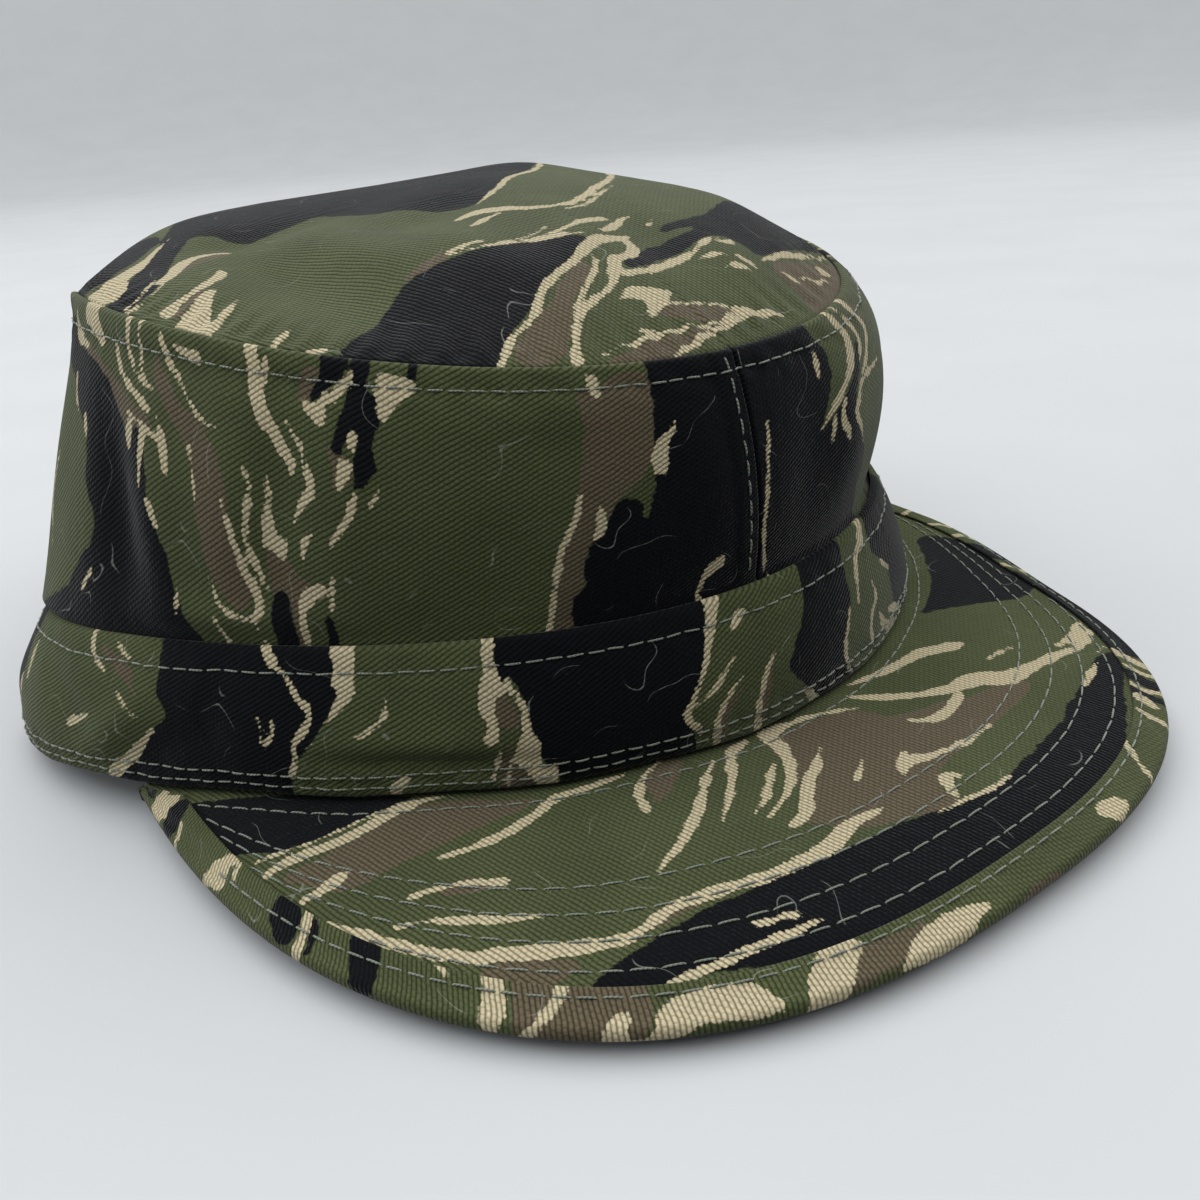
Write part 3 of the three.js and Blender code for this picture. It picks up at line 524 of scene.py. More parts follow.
VISOR_PRINT = {
    "black": [
        [(-92, -40), (-92, -48), (-85, -52), (-82, -55), (-75, -60), (-70, -65), (-63, -72),
         (-58, -76.5), (-61, -75.8), (-66, -75.3), (-72, -75), (-78, -74), (-83, -71),
         (-87, -67), (-92, -60)],
        [(-59, -123.3), (-50, -122.5), (-39, -123), (-33, -124), (-20, -125.5), (-12, -126.5),
         (-5, -127.5), (6, -130), (13, -130.5), (20, -129), (28, -127.5), (34, -126.5),
         (40, -124), (50, -120.5), (62, -116.5), (64, -119), (60, -122), (56, -124.5),
         (50, -128), (45, -131.5), (38, -135.5), (30, -138.5), (20, -141.3), (10, -142.8),
         (-5, -142.3), (-15, -141.5), (-25, -140), (-33, -137.5), (-39, -135), (-45, -131.5),
         (-50, -129.5), (-55, -127.5), (-58, -125)],
        [(48, -86), (52, -84), (56, -82), (62, -78), (70, -70), (76, -63), (80, -59),
         (84, -60), (86, -70), (84, -82), (79, -90), (75, -93), (70, -94.5), (65, -92),
         (60, -90), (54, -87.5)],
    ],
    "brown": [
        [(-82, -78.5), (-75, -79), (-65, -78.5), (-60, -78), (-57, -79), (-53, -82),
         (-48, -86), (-43, -89), (-47, -89.5), (-55, -89), (-62, -88.5), (-68, -88),
         (-73, -89), (-77, -87), (-79.5, -83)],
        [(-7, -99), (0, -99.5), (8, -101), (13, -104), (13, -107), (18, -109), (25, -110),
         (30, -112), (36, -112.5), (42, -114.5), (40, -117), (33, -118.5), (26, -119.5),
         (16, -121), (8, -122.5), (4, -126), (5, -130), (0, -129), (-7, -126), (-12, -124.5),
         (-14, -121.5), (-17, -118), (-13, -114), (-9, -109)],
        [(-27, -94), (-22, -94), (-20, -95), (-23, -98), (-28, -101), (-31, -102), (-29.5, -97)],
        [(-68, -112), (-63, -114), (-60, -117), (-57, -120), (-60, -121), (-66, -119),
         (-70, -116)],
        [(-66, -96.5), (-61, -97), (-58, -100), (-60, -101), (-65, -99)],
        [(-52, -121.5), (-45, -121.5), (-38, -122), (-32, -123), (-38, -120.5), (-50, -120.5)],
    ],
    "tan": [
        ([(-83, -76.5), (-78, -76.5), (-70, -77.5), (-63, -77), (-58, -78), (-55, -79.5)],
         [1.5, 2, 2, 2.6, 1.5, 0.5]),
        ([(-83, -73), (-75, -74.8), (-66, -75.3), (-62, -76)], 0.5),
        ([(-81, -85.5), (-78, -85.5), (-75, -84.8), (-73.5, -84.5)], [1, 1.8, 2, 1]),
        ([(-62, -90.7), (-56, -92.3), (-48, -92.3), (-42, -90.5), (-36, -91.5), (-30, -92.7)],
         [0.5, 1.6, 1.8, 1.8, 1.2, 0.4]),
        ([(-69, -95.5), (-64, -97), (-60, -99), (-57.5, -101)], [1, 0.8, 1.4, 1.6]),
        ([(-73, -99), (-68, -102), (-63, -106), (-57, -110)], [0.6, 1.2, 1.6, 0.6]),
        ([(-80, -92), (-77, -97), (-73, -104), (-68, -110), (-62, -114), (-56, -118),
          (-50, -120.5), (-43, -120), (-36, -121.5), (-27, -124), (-18, -124.5), (-12, -123),
          (-5, -123.5)], [0.8, 1.4, 1.6, 2, 2.4, 2.4, 1.8, 1.8, 2.2, 1.8, 2.8, 2.4, 0.6]),
        ([(-40, -113.5), (-33, -110.5), (-26, -106), (-21, -101.5), (-17, -98.5)],
         [0.4, 1.6, 1.6, 1.2, 0.3]),
        ([(-33, -102), (-31.5, -98), (-28, -95), (-24, -93.5)], [1.2, 1.6, 1.2, 0.3]),
        ([(-26, -111), (-21, -107), (-16, -102), (-13, -98.5), (-9, -97.5)],
         [0.3, 1.2, 1.6, 2.2, 1]),
        ([(-21, -112.5), (-16, -110), (-12, -106.5), (-9, -104.5)], [0.3, 1.4, 1.4, 0.4]),
        ([(-20, -114.5), (-14, -112), (-9, -108), (-6, -103), (-5, -98.5), (0, -98.5),
          (5, -99.5), (9, -101), (12, -102.5)], [0.3, 1, 1.8, 2.6, 3.4, 1.2, 0.9, 0.9, 0.4]),
        ([(-19, -118), (-15, -117), (-10, -112.5), (-5, -109.5), (-1, -106.5)],
         [1, 2.2, 2, 1.6, 0.3]),
        ([(-3, -116), (1, -113.5)], 1),
        ([(14, -99), (18, -102.5), (24, -106), (30, -108.3), (36, -109.5), (40, -112.5),
          (46, -112.5), (52, -112.8), (58, -113.5)], [1, 2.2, 1.8, 3, 4.5, 4.2, 2.4, 2.4, 1.6]),
        ([(16, -110.5), (19, -112.5), (24, -112.3), (29, -110.5)], [0.8, 2, 1.8, 1.5]),
        ([(57, -110.5), (62, -110.8), (67, -108.5), (70, -107)], [1, 2.6, 2.4, 0.5]),
        ([(58, -113.5), (63, -112.5), (67, -110.5)], 1.6),
        ([(17, -96), (24, -96.5), (30, -96.5), (36, -97), (41, -99), (43.5, -99.7)],
         [0.8, 1.8, 2.2, 3, 3.2, 0.8]),
        ([(42, -106.3), (46, -106), (50, -106.3)], [0.4, 1.2, 0.3]),
        ([(3, -120), (6, -118), (11, -119.5), (18, -120.3), (25, -119.5)],
         [0.5, 2.8, 1.4, 1.6, 0.4]),
        ([(5, -118), (7.5, -116.3)], 1),
        ([(5.5, -127.5), (7.5, -124.5), (9.5, -125.5)], [1.5, 2.4, 1]),
        ([(0, -129), (6, -129.8), (13, -130.3), (16, -129.8)], [0.6, 0.9, 0.9, 0.3]),
        ([(48, -121.8), (53, -120), (57, -118.8)], [1, 1.2, 0.4]),
        ([(61, -116.5), (64, -116)], 0.5),
        ([(-51, -129.3), (-43, -131), (-35, -132.5), (-29, -133.5)], [0.8, 1.5, 1.3, 0.3]),
        ([(-36, -129), (-31, -131)], 1.2),
    ],
}

DOME_PRINT = {
    "black": [
        [(-70, -22), (-65, -17), (-62, -12), (-58, -4), (-54, 1.5), (-52, 2), (-50, 0),
         (-46, -5.5), (-42, -4), (-36, -2), (-29, -1.5), (-27, -5), (-24, -13), (-17, -15),
         (-15, -19), (-8, -24), (-3, -21), (2, -16), (10, -8), (20, 0), (30, 12), (36, 28),
         (39, 42), (38, 55), (30, 63), (20, 66), (12, 69), (5, 68), (0, 62), (-8, 60),
         (-17, 60), (-22, 63), (-28, 59), (-34, 53), (-40, 51), (-43, 55), (-43, 67),
         (-48, 66), (-54, 60), (-54, 48), (-46, 38), (-50, 24), (-54, 16), (-61, 2),
         (-66, -4), (-72, -13), (-76, -22)],
        [(-78, -2), (-72, 2), (-67, 6), (-62, 8), (-58, 12), (-54, 16), (-54, 28), (-58, 38),
         (-80, 36)],
        [(-58, -66), (-50, -58.5), (-45, -57), (-40, -53), (-36, -50.5), (-30, -50.2),
         (-25, -50.5), (-20, -51.3), (-14, -51.3), (-8, -53), (-3.5, -55), (-7, -57),
         (-11, -60), (-16, -62), (-20, -64), (-24, -68), (-28, -70), (-32, -73), (-35, -76),
         (-42, -78), (-52, -76)],
        [(-3, -62.5), (-3, -65), (0, -64.5), (5, -62.5), (12, -61.5), (16, -59.5), (20, -59),
         (22, -60), (24, -63), (24, -66), (30, -64), (36, -62), (44, -58), (50, -55),
         (58, -50), (60, -44), (52, -40), (46, -39), (36, -43), (31, -47), (26, -50),
         (20, -51), (14, -52.5), (11.5, -54), (14, -54.5), (21, -54.3), (18, -56),
         (10, -57.5), (5, -58.5), (0, -61)],
    ],
    "brown": [
        [(-33, -75.5), (-28, -71.5), (-22, -69), (-17, -65), (-12, -61.5), (-9, -60.5),
         (-9, -63), (-13, -66.5), (-18, -69.5), (-21, -74), (-26, -79), (-31, -78)],
        [(-7, -75), (-3, -74.5), (3, -76), (9, -78), (7, -79.5), (2, -79.5), (-3, -78.5)],
        [(-22, -81.5), (-12, -80.5), (-2, -80.5), (4, -80), (-2, -82.5), (-8, -84), (-18, -86)],
        [(24, -68), (32, -66), (40, -63.5), (48, -60), (58, -54), (54, -66), (40, -74),
         (30, -80), (24, -79), (26, -74)],
        [(-60, -14), (-54, -11.5), (-50, -10.5), (-52, -13), (-57, -15.5), (-62, -17)],
        [(-68, -32), (-64, -29), (-60, -27.5), (-62, -30), (-67, -34)],
        [(-38, -50), (-30, -47.5), (-24, -48), (-30, -51)],
        [(-44, 76), (-34, 75), (-28, 72), (-30, 69), (-42, 70)],
    ],
    "tan": [
        ([(-8, -24.5), (-3, -21), (3, -16), (10, -8.5), (20, -1), (28, 8), (34, 20), (38, 34),
          (39, 46)], [0.5, 1, 1.4, 1.4, 1.4, 1.2, 1.5, 1.6, 0.8]),
        ([(-15, -31), (-11, -30), (-7, -33), (-2, -36.5), (4, -37), (10, -34), (16, -29),
          (24, -22), (32, -13), (38, -4), (44, 4), (49, 12), (53, 26), (53, 40), (48, 50),
          (44, 58), (42, 66)], [2, 4, 3, 1.5, 1.6, 1.6, 2, 1.5, 1.5, 1.5, 1.8, 1.8, 1.5, 1.2,
                                1.5, 2.5, 1]),
        ([(-17, -39), (-13, -36.5), (-9, -35)], [0.5, 1.8, 1]),
        ([(2, -40), (8, -38), (16, -32), (22, -27)], [0.3, 1, 0.8, 0.3]),
        ([(52, 16), (56, 28), (56, 38)], [0.4, 1.2, 0.5]),
        ([(36, 65), (39, 61), (44, 58)], [2, 3, 1]),
        ([(54, 68), (58, 56), (61, 42), (62, 32)], [0.6, 1.2, 1.4, 0.4]),
        ([(64, 40), (63, 30), (63, 22)], [1.8, 1.2, 0.4]),
        ([(66, 16), (66, 6), (64, -8)], [0.6, 1.4, 0.6]),
        [(-65, -15), (-62, -12), (-60, -8.5), (-57, -8), (-55, -9.5), (-50, -9), (-50, -10.5),
         (-55, -11), (-59, -13.5), (-61, -16.5), (-64, -17)],
        [(-69, -29), (-65, -27.5), (-60, -26), (-57, -23), (-55.5, -20.5), (-54.8, -22.5),
         (-56.5, -25.5), (-59, -27.5), (-64, -28.5), (-68, -31.5)],
        [(-67, -34), (-62, -30), (-59, -29), (-61, -33), (-63.5, -38), (-65, -43), (-70, -38)],
        ([(-66, -42.5), (-61, -38.5), (-58, -35.5)], [1.5, 1.4, 0.4]),
        ([(-62, -54), (-57, -51.5), (-55, -50)], [1, 1, 0.4]),
        ([(-58, -57), (-54, -58.5)], 0.9),
        ([(-72, -21.5), (-67, -16), (-63, -10)], 0.7),
        ([(-72, -23), (-66, -19), (-62, -14)], 0.6),
        [(-76, -5), (-72, -1), (-69, 2), (-66, 4.5), (-62, 5), (-58, 9), (-53, 13), (-57, 8),
         (-60, 4), (-61, 1), (-65, -2), (-67, -4), (-67.5, -8), (-70, -13), (-76, -14)],
        [(-64, 50), (-54, 49), (-49, 42), (-47, 37), (-56, 38), (-68, 37)],
        ([(-46, 64), (-42, 68), (-34, 68), (-27, 69)], [3, 2, 1.6, 1]),
        ([(-30, 50), (-18, 41), (-4, 37), (10, 45)], [0.4, 1.6, 1.8, 0.4]),
        ([(-8, 57), (5, 51), (18, 53)], [0.4, 1.6, 0.4]),
        ([(-34, 84), (-28, 81), (-25, 84)], [1, 3, 1.5]),
        ([(-27, -48.5), (-20, -48.5)], 0.8),
        ([(-27, -49.5), (-22, -50.8), (-15, -50.8), (-9, -52), (-4, -53.5)],
         [0.3, 0.8, 1, 1.6, 0.6]),
        ([(-18, -50), (-12, -49), (-7, -47)], [0.3, 0.9, 0.3]),
        ([(-12, -50.5), (-5, -50), (0, -48), (5, -46.3), (7, -46)], [0.5, 1.2, 1.8, 1.6, 0.4]),
        ([(1, -52), (4, -50.5), (8, -47.5), (11, -46)], [1.2, 1.6, 1.4, 0.4]),
        ([(12, -50.5), (15, -48.5)], [0.9, 0.3]),
        ([(-35.5, -76), (-30, -71.5), (-25, -69.5), (-20, -65), (-15, -62.5), (-10, -60),
          (-6, -57.5), (-2, -55.5), (3, -54.5), (5.5, -53.5)],
         [1, 1.2, 1.2, 1.4, 1.3, 1.6, 2.2, 2.6, 1.6, 0.4]),
        ([(3.5, -56), (2.5, -59), (-1, -61), (-4, -62), (-6, -65), (-10, -68.5), (-15, -70.5),
          (-19, -73), (-23, -77), (-25, -80)], [2, 2, 1.6, 2.5, 1.8, 1, 1, 1, 1.2, 0.8]),
        ([(-7, -61), (-9.5, -64), (-14, -67.5), (-18, -71), (-22, -76), (-24, -80)],
         [1.2, 0.9, 0.8, 0.8, 1, 0.8]),
        ([(-7, -65), (-3, -66), (3, -65), (8, -63.5), (12, -62.5), (17, -60.5), (20, -60)],
         [1, 1.6, 1.8, 2, 1, 1.6, 0.6]),
        ([(19, -61.5), (21, -62), (22, -61)], [0.5, 2, 0.5]),
        ([(24, -67), (30, -64.8), (36, -63), (42, -60.5), (48, -58), (53, -54)],
         [0.6, 1.4, 1.6, 1.2, 0.8, 0.3]),
        [(-8, -69.5), (-5, -69), (-2, -71), (0.5, -72), (-2, -73.5), (-2.5, -75), (-6, -75),
         (-7, -77), (-8.5, -76), (-7, -74.5), (-6.5, -72.5), (-9, -71.5), (-11, -71.5),
         (-9, -70.5)],
        ([(-2.5, -74.5), (3, -75.5), (8, -77.5), (11, -79)], [0.6, 0.8, 1, 0.6]),
        ([(-20, -80), (-10, -79.8), (0, -80), (4, -79.8), (9, -78.8), (14, -79.5),
          (17, -79.5)], [0.5, 0.7, 0.8, 0.8, 2, 1.4, 0.3]),
        ([(-10, -84), (-4, -82.5), (2, -81), (8, -80)], [0.6, 0.9, 0.9, 0.5]),
        ([(-12, -78.5), (-9, -79)], 0.8),
        ([(11.5, -65), (15, -64.8), (17, -66)], [0.5, 1.4, 0.5]),
        ([(14, -69), (17, -69), (18.5, -70)], [0.5, 1.6, 0.6]),
        ([(19, -66.5), (20.5, -69)], 1),
        ([(26, -69.5), (28, -71.5)], [1, 1.4]),
        ([(30, -70.5), (34, -70), (38, -69)], [0.6, 1, 0.4]),
        [(39, -64.5), (42, -64), (43, -66), (40, -67)],
    ],
}

# On the binding: mm along its edge from the middle of the front, and across from its upper rim.
BINDING_PRINT = {
    "black": [
        [(-160.5, 1.5), (-157.5, 1), (-157, 4), (-159, 5.5), (-161, 5)],
        [(-150.5, 1), (-148, -0.5), (-146.5, 1.5), (-146, 4), (-147, 7), (-150, 7), (-151, 4)],
        [(-116, 1.5), (-113, -1), (-110.5, 0), (-110, 3), (-111, 6.5), (-114.5, 6), (-116.5, 4)],
        [(-108, 0.5), (-106.5, 1), (-106.2, 4), (-107.5, 6.5), (-108, 4)],
        [(-100.5, 0), (-95.5, -2), (-95, 3), (-96, 8), (-99, 8), (-100, 4)],
        [(57, -1), (60, -1), (59, 4), (58, 12), (56.5, 6)],
        [(61.5, -1), (66, -2), (65, 5), (63, 12), (61, 6)],
        [(74, -2), (110, -2), (108, 5), (109, 13), (76, 13), (73, 5)],
        [(118, -2), (128, -2), (126, 6), (119, 13), (116, 5)],
    ],
    "brown": [
        [(-75, -2), (-58, -2), (-58, 3), (-60, 8), (-64, 13), (-74, 13), (-76, 5)],
        [(-34, 1.5), (-24, 2), (-18, 2.5), (-22, 5), (-28, 6), (-34, 7), (-36, 3)],
        [(-4, 5.8), (6, 5.8), (10, 12), (-6, 12)],
    ],
    "tan": [
        [(-157, -1), (-154.5, -1), (-155, 2), (-153, 1.5), (-150.8, 0.5), (-151, 6.5),
         (-156, 7), (-157, 4.5), (-155.8, 3)],
        ([(-145.3, 4), (-144.6, 6), (-144, 9)], 1),
        [(-132, 6.5), (-128, 6), (-128.5, 3), (-127, 0.5), (-128.3, -1.5), (-130, 1),
         (-133, 3.5), (-134, 9)],
        ([(-126.7, 1), (-126.5, 3)], 0.8),
        ([(-109, -1), (-108.8, 3), (-109.2, 7), (-110, 12)], [1.5, 1.8, 1.8, 1]),
        [(-80, -0.5), (-77, -0.5), (-76.3, 2.5), (-77, 6.5), (-79, 8), (-80.3, 5.5), (-79.5, 3)],
        ([(-89, -1), (-86, 0), (-85, 1)], 1),
        ([(-67, -2.5), (-69, 1), (-71, 4), (-73.5, 6.5), (-75, 10)], [1.5, 1.5, 1.2, 1.5, 2]),
        [(-67, 12), (-65, 7), (-63, 3.8), (-60.5, 3.5), (-62, 7), (-59, 7.5), (-57.5, 4),
         (-55, 2), (-50, 1.4), (-45, 1.8), (-43, 4), (-41.5, 6), (-46, 6.8), (-52, 5.6),
         (-56, 7.5), (-60, 10.5)],
        [(-39.5, 9), (-38.5, 4), (-36, 0.8), (-32, -0.4), (-28.5, 1), (-30, 3), (-33, 5),
         (-34, 8), (-36, 11)],
        [(-25, 5.5), (-22, 3.6), (-17, 2.6), (-12, 3), (-8, 4.6), (-12, 5.6), (-16, 8), (-26, 7)],
        [(19, 3.2), (22, 2.4), (25, 3), (25.5, 5.5), (22, 7), (20, 5.5)],
        ([(41, -1), (38, 1.5), (35.5, 4), (33.5, 7)], [1.2, 1.2, 0.9, 0.6]),
        ([(51.5, 1), (51, 4), (50, 7)], [1, 1.4, 0.6]),
        [(55, 0), (57, 0.5), (57.3, 3), (55.5, 5), (54, 3.5)],
        ([(60.3, 0), (60, 3), (61, 6)], [1.4, 1.6, 1]),
        ([(67, 1), (66.5, 4), (68, 8)], [1.5, 2, 1]),
        ([(71, -2), (72, 1), (71, 4), (69, 7)], [2, 3, 2.5, 1]),
        ([(113, -2), (114, 4), (112, 12)], [1.5, 2, 1]),
        ([(132, -2), (133, 4), (136, 12)], [2, 2.5, 1]),
        ([(142, -2), (141, 4), (145, 12)], [1, 2, 1]),
        ([(150, -2), (152, 5)], [2, 1]),
    ],
}


def crown_source(u, v):
    """Where the drawn crown cloth is cut again for the stretches that were not drawn."""
    left = u > 44
    u, v = np.where(left, -3 - u, u), np.where(left, CROWN_V - v, v)
    return np.where(u < -208, u + 168, u), v


def band_source(u, v):
    """The same for the band."""
    u = np.where(u > 93, u - 218, u)
    return np.where(u < -145, u + 170, u), v


# ---------- materials ----------
COLOURS = {
    "olive": (0.0285, 0.0345, 0.0145),
    "brown": (0.049, 0.040, 0.025),
    "black": (0.0009, 0.0012, 0.0019),
    "tan": (0.215, 0.188, 0.122),
    "lining": (0.045, 0.054, 0.027),
}


class Nodes:
    """A material's node tree with short calls for the sums used here."""

    def __init__(self, name, roughness):
        self.material = bpy.data.materials.new(name)
        self.material.use_nodes = True
        self.tree = self.material.node_tree
        self.shader = self.tree.nodes["Principled BSDF"]
        self.shader.inputs["Roughness"].default_value = roughness

    def new(self, kind, **values):
        node = self.tree.nodes.new(kind)
        for key, value in values.items():
            setattr(node, key, value)
        return node

    def put(self, socket, value):
        if isinstance(value, bpy.types.NodeSocket):
            self.tree.links.new(value, socket)
        else:
            socket.default_value = value

    def attribute(self, name):
        return self.new("ShaderNodeAttribute", attribute_name=name)

    def math(self, operation, *values):
        node = self.new("ShaderNodeMath", operation=operation)
        for socket, value in zip(node.inputs, values):
            self.put(socket, value)
        return node.outputs[0]

    def dot(self, vector, x, y):
        node = self.new("ShaderNodeVectorMath", operation="DOT_PRODUCT")
        self.put(node.inputs[0], vector)
        node.inputs[1].default_value = (x, y, 0)
        return node.outputs["Value"]

    def noise(self, vector, scale, detail=2.0, rough=0.5):
        node = self.new("ShaderNodeTexNoise")
        self.put(node.inputs["Vector"], vector)
        node.inputs["Scale"].default_value = scale
        node.inputs["Detail"].default_value = detail
        node.inputs["Roughness"].default_value = rough
        return node.outputs["Fac"]

    def ramp(self, value, low, high, to_low=0.0, to_high=1.0):
        node = self.new("ShaderNodeMapRange", interpolation_type="SMOOTHSTEP")
        for socket, v in zip(node.inputs, (value, low, high, to_low, to_high)):
            self.put(socket, v)
        return node.outputs["Result"]

    def mix(self, factor, a, b, blend="MIX"):
        node = self.new("ShaderNodeMix", data_type="RGBA", blend_type=blend)
        self.put(node.inputs["Factor"], factor)
        for socket, value in ((node.inputs["A"], a), (node.inputs["B"], b)):
            self.put(socket, (*value, 1) if isinstance(value, tuple) else value)
        return node.outputs["Result"]

    def bump(self, height, distance, strength, under=None):
        node = self.new("ShaderNodeBump")
        node.inputs["Strength"].default_value = strength
        node.inputs["Distance"].default_value = distance
        self.put(node.inputs["Height"], height)
        if under is not None:
            self.put(node.inputs["Normal"], under)
        return node.outputs["Normal"]


def twill(nodes, cloth, along, rib=RIB):
    """Diagonal ribs: 'along' is the direction they run on the flat cloth."""
    x, y = along
    wander = nodes.math("MULTIPLY", nodes.noise(cloth, 0.22, 3.0), 0.9)
    across = nodes.math("ADD", nodes.math("DIVIDE", nodes.dot(cloth, -y, x), rib), wander)
    number = nodes.math("FLOOR", across)
    place = nodes.math("FRACT", across)
    shape = nodes.math("SINE", nodes.math("MULTIPLY", place, math.pi))
    shape = nodes.math("POWER", shape, 0.8)
    step = nodes.math("ADD", nodes.math("DIVIDE", nodes.dot(cloth, x, y), 0.95),
                      nodes.math("MULTIPLY", number, 0.38))
    float_ = nodes.math("ABSOLUTE", nodes.math("SINE", nodes.math("MULTIPLY", step, math.pi)))
    float_ = nodes.math("POWER", float_, 0.5)
    return nodes.math("MULTIPLY", shape, nodes.math("MULTIPLY_ADD", float_, 0.5, 0.5))


def lint(nodes, cloth):
    """Stray hairs: thin contour lines of a slow noise, kept only here and there."""
    away = nodes.math("ABSOLUTE", nodes.math("SUBTRACT", nodes.noise(cloth, 0.07, 1.0), 0.52))
    hair = nodes.ramp(away, 0.0012, 0.0030, 1.0, 0.0)
    kept = nodes.ramp(nodes.noise(cloth, 0.11, 1.0), 0.53, 0.60, 0.0, 0.20)
    return nodes.math("MULTIPLY", hair, kept)


def twill_material(name, along, printed=True, ground="olive", rib=RIB):
    nodes = Nodes(name, 0.88)
    cloth = nodes.attribute("cloth").outputs["Vector"]
    weave = twill(nodes, cloth, along, rib)
    grain = nodes.noise(cloth, 2.6, 3.0, 0.6)
    broad = nodes.noise(cloth, 0.06, 2.0)
    colour = nodes.mix(nodes.ramp(broad, 0.3, 0.7), COLOURS[ground],
                       tuple(c * 1.18 for c in COLOURS[ground]))
    if printed:
        ragged = nodes.math("MULTIPLY_ADD", nodes.noise(cloth, 1.5, 2.0), 0.8, -0.4)
        uneven = nodes.math("MULTIPLY_ADD", nodes.noise(cloth, 0.32, 2.0), 1.6, -0.8)
        ragged = nodes.math("ADD", ragged, uneven)
        ragged = nodes.math("MULTIPLY_ADD", weave, 0.22, ragged)
        for ink in ("brown", "black", "tan"):
            distance = nodes.math("ADD", nodes.attribute(ink).outputs["Fac"], ragged)
            colour = nodes.mix(nodes.ramp(distance, -0.02, 0.26), colour, COLOURS[ink])
    # painted shade: the colour is darkened between the twill's ribs and lightened on their crests,
    # where the weave's height is high; the grain adds random lighter and darker specks
    painted_rib_shade = nodes.ramp(weave, 0.15, 0.95, 0.46, 1.2)
    speck = nodes.ramp(grain, 0.25, 0.75, 0.84, 1.16)
    painted_shade_and_grain = nodes.math("MULTIPLY", painted_rib_shade, speck)
    tone = nodes.new("ShaderNodeCombineColor")
    for socket in tone.inputs:
        nodes.put(socket, painted_shade_and_grain)
    colour = nodes.mix(1.0, colour, tone.outputs["Color"], "MULTIPLY")
    fuzz = nodes.ramp(nodes.noise(cloth, 1.1, 4.0, 0.7), 0.62, 0.76, 0.0, 0.035)
    colour = nodes.mix(fuzz, colour, (0.30, 0.31, 0.28))
    colour = nodes.mix(lint(nodes, cloth), colour, (0.26, 0.27, 0.25))
    nodes.put(nodes.shader.inputs["Base Color"], colour)
    nodes.shader.inputs["Specular IOR Level"].default_value = 0.06
    nodes.shader.inputs["Sheen Weight"].default_value = 0.085
    nodes.shader.inputs["Sheen Roughness"].default_value = 0.3
    soft = nodes.bump(nodes.noise(cloth, 0.5, 3.0), 0.0005, 0.35)
    fine = nodes.bump(weave, 0.00016, 0.9, soft)
    nodes.put(nodes.shader.inputs["Normal"], nodes.bump(grain, 0.00008, 0.6, fine))
    return nodes.material


def woven_material(name, colour, pitch, roughness):
    """Plain weave for tape and label."""
    nodes = Nodes(name, roughness)
    cloth = nodes.attribute("cloth").outputs["Vector"]
    across = nodes.math("SINE", nodes.math("MULTIPLY", nodes.dot(cloth, 1, 0), math.tau / pitch))
    along = nodes.math("SINE", nodes.math("MULTIPLY", nodes.dot(cloth, 0, 1), math.tau / pitch))
    weave = nodes.math("MULTIPLY_ADD", nodes.math("MULTIPLY", across, along), 0.5, 0.5)
    mottle = nodes.noise(cloth, 0.4, 4.0)
    tint = nodes.mix(nodes.ramp(mottle, 0.3, 0.7), tuple(c * 0.82 for c in colour), colour)
    # painted shade: the colour is darkened where the weave dips between the yarns
    tint = nodes.mix(nodes.ramp(weave, 0.0, 1.0, 0.35, 0.0), tint, tuple(c * 0.5 for c in colour))
    nodes.put(nodes.shader.inputs["Base Color"], tint)
    nodes.put(nodes.shader.inputs["Normal"], nodes.bump(weave, 0.0001, 0.8))
    return nodes.material


def thread_material(name, colour):
    """Two-ply thread: the twist runs slantwise round it."""
    nodes = Nodes(name, 0.6)
    cloth = nodes.attribute("cloth").outputs["Vector"]
    twist = nodes.math("SINE", nodes.math("MULTIPLY", nodes.dot(cloth, 1.6, 0.9), math.tau))
    mottle = nodes.noise(cloth, 0.35, 3.0)
    tint = nodes.mix(nodes.ramp(mottle, 0.3, 0.7), tuple(c * 0.7 for c in colour), colour)
    # painted shade: the colour is darkened in the grooves of the twist
    tint = nodes.mix(nodes.ramp(twist, -1.0, 0.2, 0.45, 0.0), tint, tuple(c * 0.4 for c in colour))
    nodes.put(nodes.shader.inputs["Base Color"], tint)
    nodes.shader.inputs["Sheen Weight"].default_value = 0.2
    nodes.put(nodes.shader.inputs["Normal"], nodes.bump(twist, 0.00006, 0.8))
    return nodes.material


def board_material():
    nodes = Nodes("pressed_board", 0.8)
    cloth = nodes.attribute("cloth").outputs["Vector"]
    fibre = nodes.noise(cloth, 0.8, 6.0, 0.7)
    tint = nodes.mix(nodes.ramp(fibre, 0.3, 0.7), (0.03, 0.03, 0.026), (0.06, 0.058, 0.05))
    nodes.put(nodes.shader.inputs["Base Color"], tint)
    nodes.put(nodes.shader.inputs["Normal"], nodes.bump(fibre, 0.0001, 0.6))
    return nodes.material


def floor_material():
    nodes = Nodes("pale_floor", 0.6)
    where = nodes.new("ShaderNodeTexCoord").outputs["Object"]
    speck = nodes.noise(where, 9.0, 3.0)
    tint = nodes.mix(nodes.ramp(speck, 0.3, 0.7), (0.245, 0.254, 0.262), (0.254, 0.264, 0.272))
    apart = nodes.new("ShaderNodeSeparateXYZ")
    nodes.put(apart.inputs[0], where)
    # painted light: the colour turns paler up the curved wall, standing in for the light the wall
    # gets less of than the floor
    tint = nodes.mix(nodes.ramp(apart.outputs["Z"], 0.0, 1.2), tint, (0.375, 0.388, 0.400))
    nodes.put(nodes.shader.inputs["Base Color"], tint)
    nodes.shader.inputs["Specular IOR Level"].default_value = 0.05
    return nodes.material


